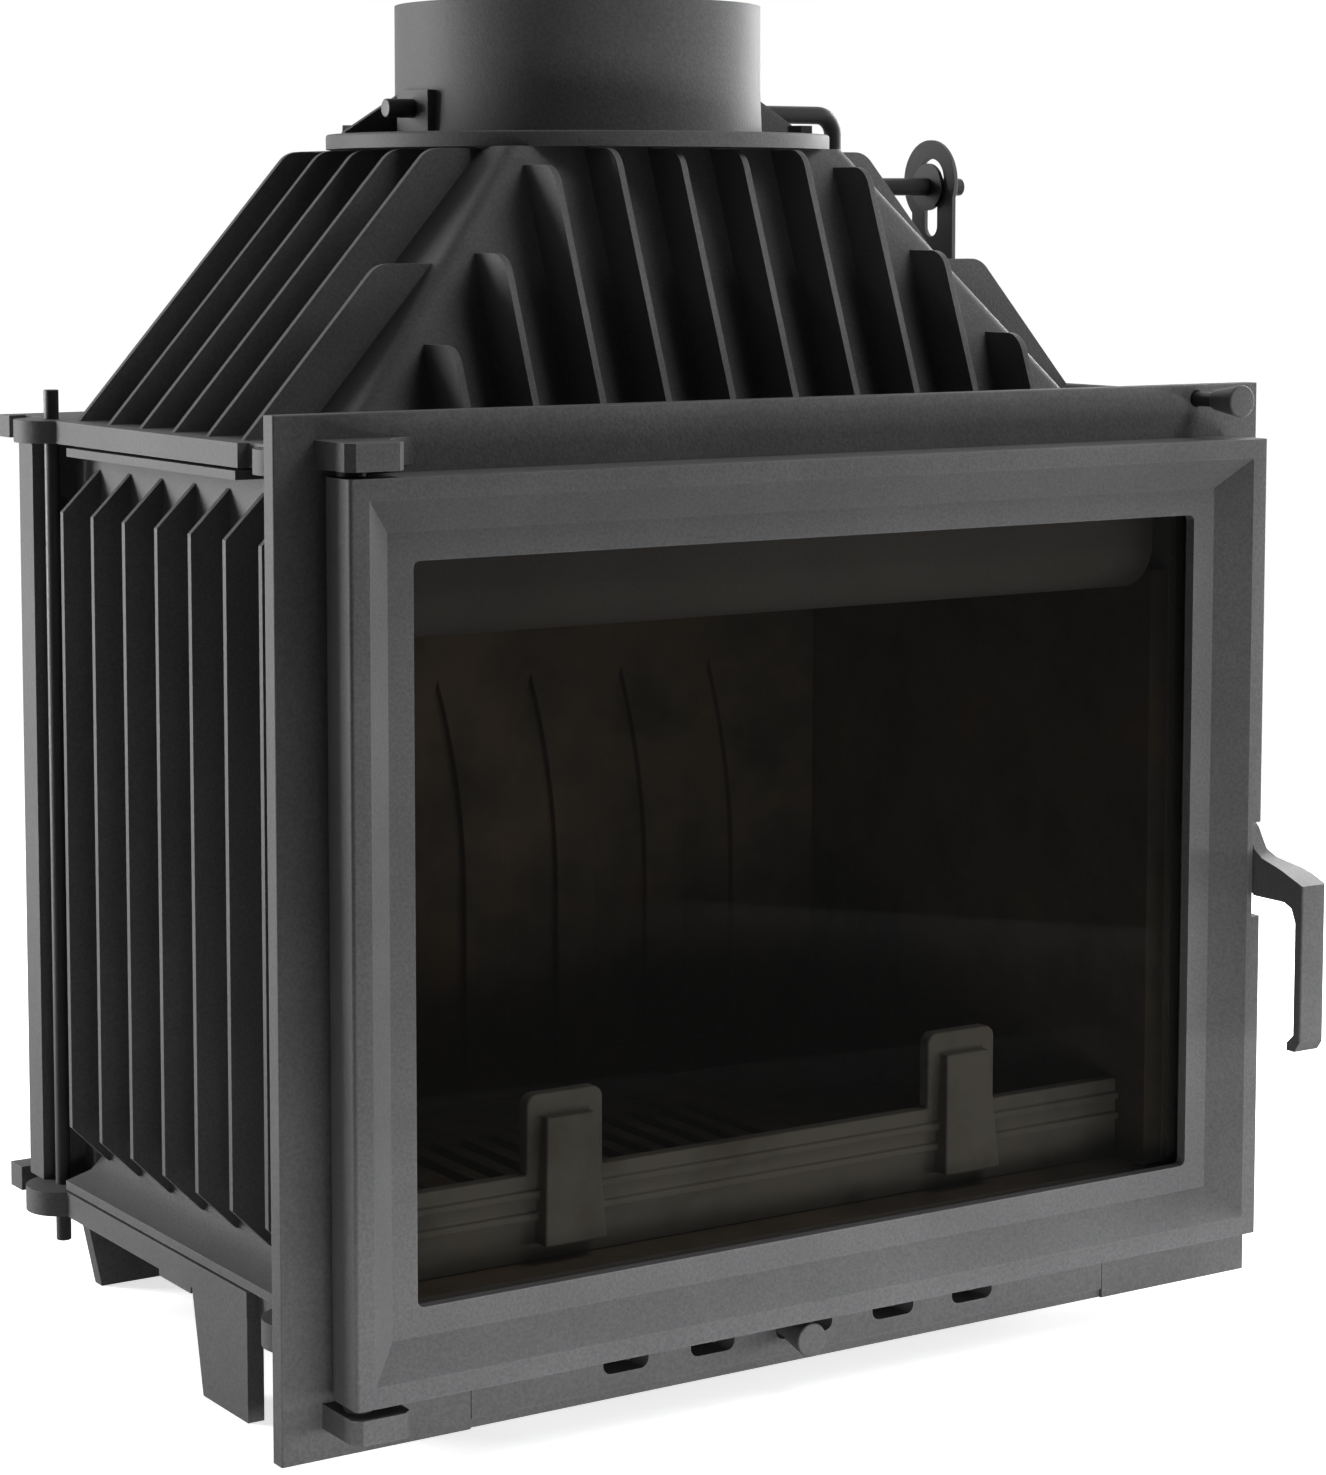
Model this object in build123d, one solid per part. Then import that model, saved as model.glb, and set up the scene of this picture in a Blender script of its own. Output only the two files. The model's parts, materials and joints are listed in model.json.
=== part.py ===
from build123d import *
import math
import os

# Cast iron fireplace insert: finned body, front plate, glazed door and flue collar with damper.
# Millimetres, +Z up, +Y to the back, X across. The floor is z = 0 and mid-width is x = 0.
# Everything is drawn with y = 0 on the front plate's face and moved to mid-depth when written.

os.makedirs("parts", exist_ok=True)

# Clearances
running = 0.05       # radial gap of a pin that turns or slides in its hole
slip = 0.3           # gap between flat pieces that slide or lie close
loose = 0.5          # radial gap round a rod that passes through freely
thread = 0.05        # radial gap round a screwed-in shank

# Door: a deep rim with a bevel down to a narrow band round the glass
door_w = 551.0
door_h = 430.5
door_bottom = 40.5
door_gap = 2.5
door_depth = 30.5
rim_w = 10.0
bevel_w = 16.0
bevel_depth = 13.0
band_w = 13.7
band_t = 6.0
pane_corner_r = 3.5
door_edge_r = 2.0
hinge_side_r = 10.0

# Front plate and its mouth, measured from the door's edges
plate_side = 21.5
plate_over = 27.9
plate_under = 32.0
plate_t = 9.5
plate_edge_r = 1.0
mouth_lap_side = 28.5
mouth_lap_top = 30.0
mouth_lap_low = 34.5

# Glass, its tape, clips and screws
glass_t = 4.0
glass_lap = 8.0
glass_play = 1.5
glass_corner_r = 2.0
tape_t = 1.0
clip_t = 1.5
clip_w = 22.0
clip_lap = 6.0
clip_seat = 10.0
clip_corner_r = 2.0
clip_screw_d = 4.0
clip_screw_bite = 5.0
clip_screw_head_d = 7.6
clip_screw_head_h = 2.4

# Door rope in its groove round the back of the door
rope_w = 9.0
rope_groove_w = 9.6
rope_groove_depth = 6.5
rope_inset = 13.0

# Hinges: a lug above and below the door, with a pin and a spacer in each
hinge_inset = 9.5
hinge_depth = 14.0
hinge_pin_d = 8.0
hinge_pin_reach = 12.0
hinge_pin_seat = 1.0
lug_w = 30.6
lug_past_door = 0.6
lug_t_top = 13.0
lug_t_bottom = 12.0
lug_gap_top = 3.2
lug_gap_bottom = 4.6
lug_flare = 22.0
lug_corner = 4.0
spacer_d = 14.0

# Handle on the door's free edge, with the tongue behind it
handle_rise = 215.5
handle_y = -20.0
notch_depth = 6.5
notch_below = 41.5
notch_above = 9.5
hub_r = 8.8
hub_w = 8.5
hub_side_gap = 1.3
grip_w = 16.5
handle_reach = 50.4
grip_t = 5.8
grip_toe = 10.0
grip_drop = 109.0
grip_edge_r = 1.2
handle_pin_d = 6.0
handle_pin_bite = 15.0
tongue_w = 4.5
tongue_h = 13.0
tongue_reach = 42.0
tongue_tip_r = 3.0
slot_side_gap = 4.0
keeper_w = 20.0
keeper_t = 4.0
keeper_depth = 18.0
keeper_h = 30.0

# The arm's upper and lower lines: forward of and above the hub's middle, in parts of the reach
arm_upper_line = ((0.0, 0.08), (0.16, 0.07), (0.26, -0.1), (0.38, -0.18), (0.67, -0.26),
                  (1.0, -0.387))
arm_lower_line = ((0.837, -0.643), (0.726, -0.595), (0.26, -0.595), (0.1, -0.456), (-0.02, -0.18))
arm_widening = (0.28, 0.79)

# Body outline seen from above, shared by base and hood
tail_y = 379.5
wall_margin = 2.4
wall_t = 6.3
fin_reach = 21.8
front_step = 6.0
step_front_y = 88.2
step_back = 76.5
tail_bar = 15.0
tail_notch = 37.5
tail_notch_in = 9.2
ear_r = 20.0
ear_inset = 6.1
ear_front_y = 40.0
ear_back = 57.5
tie_rod_d = 8.0
tie_rod_above = 15.6
tie_rod_below = 18.0

# Base
base_bottom = 52.5
base_t = 13.2
base_lug_y = 169.5
base_lug_len = 37.0
base_lug_drop = 3.5
foot_t = 9.0
foot_front_y = 87.8
foot_top_len = 61.6
foot_bottom_len = 49.8
foot_root_r = 12.0
back_foot_back = 43.5
back_foot_t = 8.6
back_foot_inset = 34.2
back_foot_w = 110.0
back_foot_taper = 11.0

# Side castings
seam = 1.5
fin_t = 3.6
fin_pitch = 38.5
first_fin_y = 65.3
last_fin_gap = 12.0
fin_foot_rise = 37.1
fin_head_drop = 35.7
rail_t = 6.3
rail_rise = 12.0
rail_front_y = 60.8
rail_back = 75.5
lip_t = 6.0
lip_front_y = 91.0
lip_back = 90.5
bolt_flange_w = 14.0
bolt_flange_t = 7.0

# Rear casting
back_in = 45.5
back_rim_depth = 18.0
back_rim_w = 28.0
back_wall_t = 7.0
back_fin_reach = 22.0
back_fin_bolt_gap = 6.0
back_fin_margin = 12.0

# Hood: sloping sides and front, upright back
hood_flange_t = 12.0
hood_flange_drop = 17.9
hood_rise = 143.0
hood_wall_t = 6.0
hood_foot_inset = 40.9
hood_top_half = 104.9
hood_front_bottom_y = 60.3
hood_front_top_y = 115.4
hood_back = 29.5
hood_corner_r = 8.0
hood_hole_gap = 2.0
side_fin_reach = 30.7
front_fin_reach = 28.3
front_fin_least_h = 30.0
hood_fin_drop = 1.0
fin_head_r = 14.0
hip_side_gap = 17.2
hip_front_gap = 11.0
rod_notch_r = 7.0

# Bolts
bolt_d = 8.0
bolt_head_af = 13.0
bolt_head_h = 5.3
plate_bolt_bite = 6.5
plate_bolt_low = 44.3
plate_bolt_over_latch = 44.0
plate_bolt_high = 39.0
back_bolt_end = 34.0
small_screw_d = 5.0
small_screw_head_d = 9.0
small_screw_head_h = 3.0
small_screw_bite = 6.0

# Flue collar
flue_back = 161.8
spigot_r = 99.0
spigot_wall = 6.0
spigot_h = 69.0
spigot_foot_flare = 1.0
spigot_foot_h = 23.0
collar_margin = 37.5
collar_t = 8.0
collar_edge_r = 1.5
collar_bolt_out = 22.0
collar_bolt_bite = 14.0
collar_bolt_angles = (-30.0, 150.0)
collar_boss_r = 9.0
collar_boss_end = 4.0
boss_half_w = 16.5
boss_h = 22.5
boss_out = 3.7
gusset_t = 4.0
gusset_offset = 32.5
gusset_reach = 33.0
gusset_h = 21.0
gusset_root = 3.0

# Damper rod with its crank, and the blade
axle_d = 10.0
axle_rise = 21.0
axle_out = 20.0
crank_out = 33.9
crank_drop = 40.0
crank_bend_r = 11.0
crank_pin_out = 21.6
rod_edge_r = 1.0
blade_gap = 3.0
blade_t = 3.0
blade_seat = 0.5
blade_rest_deg = 20.0
blade_screw_x = 45.0
blade_screw_bite = 5.0
crank_washer_d = 27.0
crank_washer_t = 2.5
crank_washer_gap = 0.5

# Slotted lever, pull rod and knob; the lever's heights are from the crank pin and the pull rod
lever_in = 13.6
lever_t = 3.0
lever_head_r = 24.0
lever_head_rise = 3.0
lever_head_back = 1.9
lever_front = 20.3
lever_back = 18.0
lever_foot_front = 32.7
lever_flare_drop = 45.0
lever_eye_r = 12.0
lever_eye_rise = 4.2
lever_slot_w = 12.0
lever_slot_drop = 28.5
lever_bend_rise = 22.6
lever_foot_rise = 2.6
lever_foot_under = 3.4
pull_inset = 17.2
pull_drop = 7.5
pull_d = 8.0
pull_flat = 0.5
pull_out = 26.4
pull_stem = 15.0
knob_len = 21.0
knob_tip_d = 17.5
knob_root_d = 10.5
knob_edge_r = 1.0
guide_back = 57.3
guide_t = 4.0
guide_half_w = 10.0
guide_corner_r = 5.0
guide_foot_len = 14.0
guide_foot_t = 3.0
guide_wing = 12.0
guide_wing_edge = 6.0
guide_screw_edge = 5.0

# Air panel in the foot of the plate, and the shutter behind it
panel_side = 101.5
panel_rise = 5.1
panel_h = 32.4
panel_gap = 0.5
panel_lap_side = 10.5
panel_lap_low = 4.1
panel_lap_top = 5.5
panel_flange_t = 4.0
panel_screw_out = 5.5
panel_screw_low = 6.4
panel_screw_high = 6.0
panel_lip_t = 3.0
panel_lip_inset = 1.0
air_slot_w = 26.4
air_slot_mid_w = 35.0
air_slot_x = (56.1, 107.6)
air_slot_rise = 8.2
air_slot_h = 20.0
air_slot_r = 4.5
shutter_t = 3.0
shutter_slot_w = 24.0
shutter_left_past = 42.4
shutter_right_past = 16.4
shutter_rise = 3.9
shutter_lip = 3.5
air_knob_x = -12.7
air_knob_rise = 14.0
air_stem_d = 8.0
air_stem = 7.0
air_knob_len = 18.0

# Air box and ash pan under the hearth
box_inset = 23.5
box_bottom = 10.0
box_back = 42.0
box_t = 3.0
box_flange_w = 14.0
box_flange_back = 20.0
box_screw_front_y = 60.0
box_screw_back = 52.0
ash_half_w = 112.0
ash_front_y = 74.0
ash_back = 20.0
pan_gap = 6.0
pan_h = 30.0
pan_t = 2.0

# Firebox lining
hearth_t = 9.0
liner_t = 12.0
liner_drop = 41.0
grate_lap = 9.0
grate_gap = 1.0
grate_bar = 10.0
grate_slot = 9.0
grate_edge = 12.0
arch_pitch = 62.0
arch_count = 6
arch_half_w = 18.0
arch_head_drop = 76.0
arch_head_h = 127.0
arch_foot_rise = 20.3
arch_depth = 5.0
baffle_t = 10.0
baffle_front_y = 130.0

# Air deflector above the mouth
deflector_hang = 52.0
deflector_rise = 15.0
deflector_nose_r = 26.0
deflector_tail = 10.0
deflector_t = 5.0
deflector_screw_x = 180.0
deflector_screw_drop = 7.0

# Log fence: a low wall with two upstands, each with a tapering buttress in front
fence_y = 33.0
fence_t = 8.0
fence_h = 43.8
stand_h = 40.0
stand_w = 44.0
stand_x = 123.4
stand_corner_r = 6.0
fence_rib_drops = (22.5, 11.5)
fence_rib_h = 4.0
fence_rib_depth = 2.5
fence_foot_len = 26.0
fence_foot_w = 30.0
buttress_top_w = 28.0
buttress_foot_w = 36.0
buttress_foot_rise = 9.3
buttress_top_drop = 11.0
buttress_depth = 12.0

# Door and glass
door_half_w = door_w / 2
door_top = door_bottom + door_h
door_mid_z = door_bottom + door_h / 2
door_back = -door_gap
door_front = door_back - door_depth
band_front = door_front + bevel_depth
band_back = band_front + band_t
ring_w = rim_w + bevel_w + band_w
pane_w = door_w - 2 * ring_w
pane_h = door_h - 2 * ring_w
glass_w = pane_w + 2 * glass_lap
glass_h = pane_h + 2 * glass_lap
glass_front = band_back + tape_t
glass_back = glass_front + glass_t
hinge_x = -door_half_w + hinge_inset
hinge_y = door_back - hinge_depth
lug_bottom_z = door_bottom - lug_gap_bottom - lug_t_bottom
lug_top_z = door_top + lug_gap_top
handle_z = door_bottom + handle_rise
notch_bottom = handle_z - notch_below
notch_top = handle_z + notch_above
hub_x = door_half_w - notch_depth + hub_side_gap
tongue_x = hub_x + (hub_w - tongue_w) / 2

# Plate, mouth and latch
plate_w = door_w + 2 * plate_side
plate_bottom = door_bottom - plate_under
plate_top = door_top + plate_over
mouth_w = door_w - 2 * mouth_lap_side
mouth_bottom = door_bottom + mouth_lap_low
mouth_top = door_top - mouth_lap_top
keeper_x = tongue_x + tongue_w / 2
keeper_z = handle_z + tongue_h / 2 + loose
keeper_screw_z = (keeper_z + keeper_h * 0.45, keeper_z + keeper_h * 0.8)

# Body, seen from above
wall_half_w = mouth_w / 2 + wall_margin
wall_inner = wall_half_w - wall_t
body_half_w = wall_half_w + fin_reach
front_half_w = body_half_w - front_step
step_back_y = tail_y - step_back
tail_notch_y = tail_y - tail_bar
tail_notch_front_y = tail_y - tail_notch
tail_notch_half_w = body_half_w - tail_notch_in
ear_x = body_half_w - ear_inset
ear_back_y = tail_y - ear_back
back_y = tail_y - back_in
back_foot_y = tail_y - back_foot_back
back_foot_half_w = body_half_w - back_foot_inset
rail_back_y = tail_y - rail_back
lip_back_y = tail_y - lip_back
bolt_flange_x = wall_half_w + bolt_head_af / math.sqrt(3) + loose
back_fin_edge = bolt_flange_x - bolt_head_af / math.sqrt(3) - back_fin_bolt_gap
fin_count = 1 + int((back_y - bolt_flange_t - last_fin_gap - first_fin_y) / fin_pitch)
back_fin_pairs = int(back_fin_edge / fin_pitch)

# Body, from the floor up
base_top = base_bottom + base_t
hearth_top = base_top + hearth_t
hood_flange_top = plate_top - hood_flange_drop
hood_flange_bottom = hood_flange_top - hood_flange_t
rail_z = base_top + rail_t
lip_z = hood_flange_bottom - lip_t
fin_foot_z = base_top + fin_foot_rise
fin_head_z = hood_flange_bottom - fin_head_drop
plate_bolt_z = (base_top + plate_bolt_low, handle_z + plate_bolt_over_latch,
                hood_flange_bottom - plate_bolt_high)
back_bolt_z = (base_top + back_bolt_end, (base_top + hood_flange_bottom) / 2,
               hood_flange_bottom - back_bolt_end)

# Hood, collar and damper
hood_top = hood_flange_top + hood_rise
hood_bottom_half = body_half_w - hood_foot_inset
hood_back_y = tail_y - hood_back
side_slope = (hood_bottom_half - hood_top_half) / hood_rise
front_slope = (hood_front_top_y - hood_front_bottom_y) / hood_rise
hood_fin_top = hood_top - hood_fin_drop
front_fin_edge = hood_bottom_half - hip_side_gap - front_fin_least_h * side_slope
front_fin_pairs = int(front_fin_edge / fin_pitch + 0.5)
flue_y = tail_y - flue_back
spigot_bore_r = spigot_r - spigot_wall
spigot_foot_r = spigot_r + spigot_foot_flare
hood_hole_r = spigot_bore_r + hood_hole_gap
collar_top = hood_top + collar_t
collar_r = spigot_r + collar_margin
collar_bolt_circle_r = spigot_r + collar_bolt_out
spigot_top = collar_top + spigot_h
boss_face_x = spigot_r + boss_out
axle_z = hood_top + axle_rise
axle_left_x = -spigot_r - axle_out
crank_x = collar_r + crank_out
crank_z = axle_z - crank_drop
blade_r = spigot_bore_r - blade_gap

# Pull rod and lever
pull_x = body_half_w - pull_inset
pull_z = plate_top - pull_drop
guide_y = flue_y + guide_back
rod_end_y = guide_y + guide_t + pull_out + fin_t
lever_x = pull_x - lever_in
crank_end_x = lever_x + crank_pin_out
lever_foot_x = pull_x + pull_d / 2 - pull_flat
lever_front_y = flue_y - lever_front
lever_back_y = flue_y + lever_back
lever_foot_front_y = flue_y - lever_foot_front
lever_eye_z = crank_z + lever_eye_rise
lever_bend_z = pull_z + lever_bend_rise
lever_foot_z = pull_z + lever_foot_rise

# Air control, air box and ash pan
panel_w = plate_w - 2 * panel_side
panel_bottom = plate_bottom + panel_rise
panel_top = panel_bottom + panel_h
panel_back_y = plate_t + panel_flange_t
panel_screw_x = panel_w / 2 + panel_screw_out
panel_screw_z = (panel_bottom + panel_screw_low, panel_top - panel_screw_high)
air_slot_bottom = panel_bottom + air_slot_rise
air_knob_z = panel_bottom + air_knob_rise
shutter_y = panel_back_y + slip
shutter_left_x = -air_slot_x[-1] - shutter_left_past
shutter_right_x = air_slot_x[-1] + shutter_right_past
shutter_bottom = panel_bottom + shutter_rise
shutter_top = panel_top
box_half_w = panel_w / 2 - box_inset
box_back_y = back_y - box_back
box_screw_back_y = box_back_y - box_screw_back
box_screw_y = (box_screw_front_y, (box_screw_front_y + box_screw_back_y) / 2, box_screw_back_y)
ash_back_y = box_back_y - ash_back

# Lining
liner_inner = wall_inner - liner_t
liner_face_y = back_y - liner_t
liner_top = mouth_top - liner_drop
arch_apex_z = liner_top - arch_head_drop
arch_spring_z = arch_apex_z - arch_head_h
arch_foot_z = hearth_top + arch_foot_rise
deflector_bottom = mouth_top - deflector_hang
deflector_top = mouth_top + deflector_rise
deflector_screw_z = deflector_top - deflector_screw_drop
fence_top = hearth_top + fence_h
stand_top = fence_top + stand_h

# The move from the plate's face to the middle of the depth, handle included
frame_shift_y = -(handle_y - handle_reach + tail_y) / 2


def block(x0, x1, y0, y1, z0, z1):
    """A box between two corners."""
    size = Box(x1 - x0, y1 - y0, z1 - z0, align=(Align.MIN, Align.MIN, Align.MIN))
    return Pos(x0, y0, z0) * size


def wide_block(half, y0, y1, z0, z1):
    """A box centred on mid-width."""
    return block(-half, half, y0, y1, z0, z1)


def rod_x(x0, x1, y, z, r):
    bar = Cylinder(r, x1 - x0, align=(Align.CENTER, Align.CENTER, Align.MIN))
    return Pos(x0, y, z) * Rot(0, 90, 0) * bar


def rod_y(x, y0, y1, z, r):
    bar = Cylinder(r, y1 - y0, align=(Align.CENTER, Align.CENTER, Align.MIN))
    return Pos(x, y0, z) * Rot(-90, 0, 0) * bar


def rod_z(x, y, z0, z1, r):
    bar = Cylinder(r, z1 - z0, align=(Align.CENTER, Align.CENTER, Align.MIN))
    return Pos(x, y, z0) * bar


def prism_x(points, x0, x1):
    """An outline of (y, z) points carried along X."""
    edge = Polyline(*[(x0, y, z) for y, z in points], close=True)
    return extrude(make_face(edge), amount=x1 - x0, dir=(1, 0, 0))


def prism_y(points, y0, y1):
    """An outline of (x, z) points carried along Y."""
    edge = Polyline(*[(x, y0, z) for x, z in points], close=True)
    return extrude(make_face(edge), amount=y1 - y0, dir=(0, 1, 0))


def prism_z(points, z0, z1):
    """An outline of (x, y) points carried up Z."""
    edge = Polyline(*[(x, y, z0) for x, y in points], close=True)
    return extrude(make_face(edge), amount=z1 - z0, dir=(0, 0, 1))


def rounded_panel(w, h, r, y0, y1, mid_z):
    """A rectangle with round corners, standing across X and Z, from y0 to y1."""
    panel = extrude(RectangleRounded(w, h, r), amount=y1 - y0)
    return Pos(0, y1, mid_z) * Rot(90, 0, 0) * panel


def near(value, target):
    return abs(value - target) < 0.01


def straight(edge, axis):
    """True for a straight edge along the axis named by its letter."""
    return edge.geom_type == GeomType.LINE and abs(getattr(edge % 0.5, axis)) > 0.999


def rounded(solid, radius, pick):
    """The solid with the edges that pick() accepts rounded."""
    return fillet([edge for edge in solid.edges() if pick(edge)], radius)


def mirrored(solid):
    return mirror(solid, about=Plane.YZ)


def group(solids):
    """Several separate solids that share a node."""
    return Compound(children=list(solids))


def hex_bolt(grip):
    """A bolt along Z with its head above z = 0 and its shank below."""
    head = extrude(RegularPolygon(bolt_head_af / math.sqrt(3), 6), amount=bolt_head_h)
    return head + rod_z(0, 0, -grip, 0, bolt_d / 2 - thread)


def pan_screw(d, grip, head_d, head_h):
    """A round-headed screw along Z with a straight slot in its head."""
    head = rounded(rod_z(0, 0, 0, head_h, head_d / 2), head_h * 0.4,
                   lambda e: near(e.center().Z, head_h))
    slot = block(-head_d, head_d, -d * 0.1, d * 0.1, head_h * 0.55, head_h + 1)
    return head - slot + rod_z(0, 0, -grip, 0, d / 2 - thread)


def small_screw(grip):
    return pan_screw(small_screw_d, grip, small_screw_head_d, small_screw_head_h)


def facing_back(x, y, z):
    """A place whose own +Z points to the back."""
    return Pos(x, y, z) * Rot(-90, 0, 0)


def facing_down(x, y, z):
    """A place whose own +Z points to the floor."""
    return Pos(x, y, z) * Rot(180, 0, 0)


def cone_knob(length):
    """A knob along Z, narrow at z = 0 and widest at its end face."""
    knob = Cone(knob_root_d / 2, knob_tip_d / 2, length,
                align=(Align.CENTER, Align.CENTER, Align.MIN))
    return rounded(knob, knob_edge_r, lambda e: near(e.center().Z, length))


# Front plate


def hinge_lug(z0, height):
    """A block beside the door's corner that flares into the plate on its inner side."""
    left = -door_half_w - lug_past_door
    right = left + lug_w
    cut = lug_corner
    edge = Polyline((left, 0, z0), (left, door_front + cut, z0), (left + cut, door_front, z0),
                    (right - cut, door_front, z0), (right, door_front + cut, z0),
                    (right, -lug_flare, z0))
    flare = Pos(right + lug_flare, -lug_flare, z0) * CenterArc((0, 0, 0), lug_flare, 90, 90)
    foot = Line((right + lug_flare, 0, z0), (left, 0, z0))
    return extrude(make_face(edge + flare + foot), amount=height, dir=(0, 0, 1))


def plate_bolt_places():
    return [facing_back(side * bolt_flange_x, plate_t + bolt_flange_t, z)
            for side in (-1, 1) for z in plate_bolt_z]


def panel_screw_places():
    return [facing_back(side * panel_screw_x, panel_back_y, z)
            for side in (-1, 1) for z in panel_screw_z]


def keeper_screw_places():
    return [facing_back(keeper_x, plate_t + keeper_t, z) for z in keeper_screw_z]


def deflector_screw_places():
    return [facing_back(x, plate_t + deflector_t, deflector_screw_z)
            for x in (-deflector_screw_x, 0, deflector_screw_x)]


def screw_hole(thickness):
    """A blind hole behind the piece of the given thickness that the screw holds."""
    return rod_z(0, 0, -thickness - small_screw_bite, 0, small_screw_d / 2)


def make_front_plate():
    plate = wide_block(plate_w / 2, 0, plate_t, plate_bottom, plate_top)
    plate = rounded(plate, plate_edge_r, lambda e: near(e.center().Y, 0))
    plate -= wide_block(mouth_w / 2, -1, plate_t + 1, mouth_bottom, mouth_top)
    panel_half = panel_w / 2 + panel_gap
    plate -= wide_block(panel_half, -1, plate_t + 1,
                        panel_bottom - panel_gap, panel_top + panel_gap)
    plate -= wide_block(panel_half, -1, plate_t / 4, plate_bottom - 1, panel_bottom)
    plate -= block(tongue_x - slot_side_gap, tongue_x + tongue_w + slot_side_gap,
                   -1, plate_t + 1, notch_bottom, notch_top)
    plate -= rod_y(pull_x, -1, plate_t + 1, pull_z, pull_d / 2 + loose)
    for place in plate_bolt_places():
        plate -= place * rod_z(0, 0, -bolt_flange_t - plate_bolt_bite, 0, bolt_d / 2)
    for place in panel_screw_places():
        plate -= place * screw_hole(panel_flange_t)
    for place in keeper_screw_places():
        plate -= place * screw_hole(keeper_t)
    for place in deflector_screw_places():
        plate -= place * screw_hole(deflector_t)
    plate += hinge_lug(lug_bottom_z, lug_t_bottom) + hinge_lug(lug_top_z, lug_t_top)
    plate -= rod_z(hinge_x, hinge_y, lug_bottom_z + hinge_pin_seat, door_bottom, hinge_pin_d / 2)
    plate -= rod_z(hinge_x, hinge_y, door_top, lug_top_z + lug_t_top + 1, hinge_pin_d / 2)
    return plate


def make_hinge_pins():
    """Two pins, each pressed into its lug and reaching into the door."""
    low = rod_z(hinge_x, hinge_y, lug_bottom_z + hinge_pin_seat, door_bottom + hinge_pin_reach,
                hinge_pin_d / 2)
    high = rod_z(hinge_x, hinge_y, door_top - hinge_pin_reach, lug_top_z + lug_t_top,
                 hinge_pin_d / 2)
    return group([low, high])


def make_hinge_spacers():
    """Rings on the pins that fill the gaps between lugs and door."""
    rings = []
    for z0, z1 in ((lug_bottom_z + lug_t_bottom, door_bottom - slip), (door_top + slip, lug_top_z)):
        ring = rod_z(hinge_x, hinge_y, z0, z1, spacer_d / 2)
        rings.append(ring - rod_z(hinge_x, hinge_y, z0 - 1, z1 + 1, hinge_pin_d / 2))
    return group(rings)


def make_plate_bolts():
    return group(place * hex_bolt(bolt_flange_t + plate_bolt_bite) for place in plate_bolt_places())


def make_latch_keeper():
    """An angle behind the plate, just above the tongue."""
    half = keeper_w / 2
    keeper = block(keeper_x - half, keeper_x + half, plate_t, plate_t + keeper_t,
                   keeper_z, keeper_z + keeper_h)
    keeper += block(keeper_x - half, keeper_x + half, plate_t, plate_t + keeper_depth,
                    keeper_z, keeper_z + keeper_t)
    for place in keeper_screw_places():
        keeper -= place * screw_hole(keeper_t)
    return keeper


def make_keeper_screws():
    return group(place * small_screw(keeper_t + small_screw_bite)
                 for place in keeper_screw_places())


# Air panel, shutter and knob


def air_slot(x, width, y0, y1):
    """One air slot, rounded at its lower corners."""
    slot = block(x - width / 2, x + width / 2, y0, y1, air_slot_bottom,
                 air_slot_bottom + air_slot_h)
    return rounded(slot, air_slot_r, lambda e: straight(e, "Y"))


def make_air_panel():
    """A strip flush in the plate, with a flange behind it and two lips that guide the shutter."""
    panel = wide_block(panel_w / 2, 0, plate_t, panel_bottom, panel_top)
    panel += wide_block(panel_w / 2 + panel_lap_side, plate_t, panel_back_y,
                        panel_bottom - panel_lap_low, panel_top + panel_lap_top)
    lip_y = shutter_y + shutter_t + slip
    low = shutter_bottom - slip
    high = shutter_top + slip
    half = box_half_w - box_t - panel_lip_inset
    panel += wide_block(half, panel_back_y, lip_y + shutter_lip, low - panel_lip_t, low)
    panel += wide_block(half, lip_y, lip_y + shutter_lip, low - panel_lip_t, low + shutter_lip)
    panel += wide_block(half, panel_back_y, lip_y + shutter_lip, high, high + panel_lip_t)
    panel += wide_block(half, lip_y, lip_y + shutter_lip, high - shutter_lip, high + panel_lip_t)
    panel -= air_slot(0, air_slot_mid_w, -1, panel_back_y + 1)
    for x in air_slot_x:
        panel -= air_slot(x, air_slot_w, -1, panel_back_y + 1)
        panel -= air_slot(-x, air_slot_w, -1, panel_back_y + 1)
    for place in panel_screw_places():
        panel -= place * screw_hole(panel_flange_t)
    return panel


def make_panel_screws():
    return group(place * small_screw(panel_flange_t + small_screw_bite)
                 for place in panel_screw_places())


def make_air_shutter():
    """A flat slide whose slots line up with the panel's when the knob is at its left end."""
    shutter = block(shutter_left_x, shutter_right_x, shutter_y, shutter_y + shutter_t,
                    shutter_bottom, shutter_top)
    for x in air_slot_x:
        shutter -= air_slot(x, shutter_slot_w, shutter_y - 1, shutter_y + shutter_t + 1)
        shutter -= air_slot(-x, shutter_slot_w, shutter_y - 1, shutter_y + shutter_t + 1)
    shutter -= rod_y(air_knob_x, shutter_y - 1, shutter_y + shutter_t + 1, air_knob_z,
                     air_stem_d / 2)
    return shutter


def make_air_knob():
    """A conical knob on a stem that is riveted into the shutter."""
    stem = rod_y(air_knob_x, -air_stem, shutter_y + shutter_t, air_knob_z, air_stem_d / 2)
    return stem + Pos(air_knob_x, -air_stem, air_knob_z) * Rot(90, 0, 0) * cone_knob(air_knob_len)


# Door


def rope_ring(width, y0, y1):
    """A ring on the rope's line, near the door's edges."""
    mid_w = door_w - 2 * rope_inset
    mid_h = door_h - 2 * rope_inset
    outer = rounded_panel(mid_w + width, mid_h + width, rope_inset, y0, y1, door_mid_z)
    inner = rounded_panel(mid_w - width, mid_h - width, rope_inset - width / 2, y0 - 1, y1 + 1,
                          door_mid_z)
    return outer - inner


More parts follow.
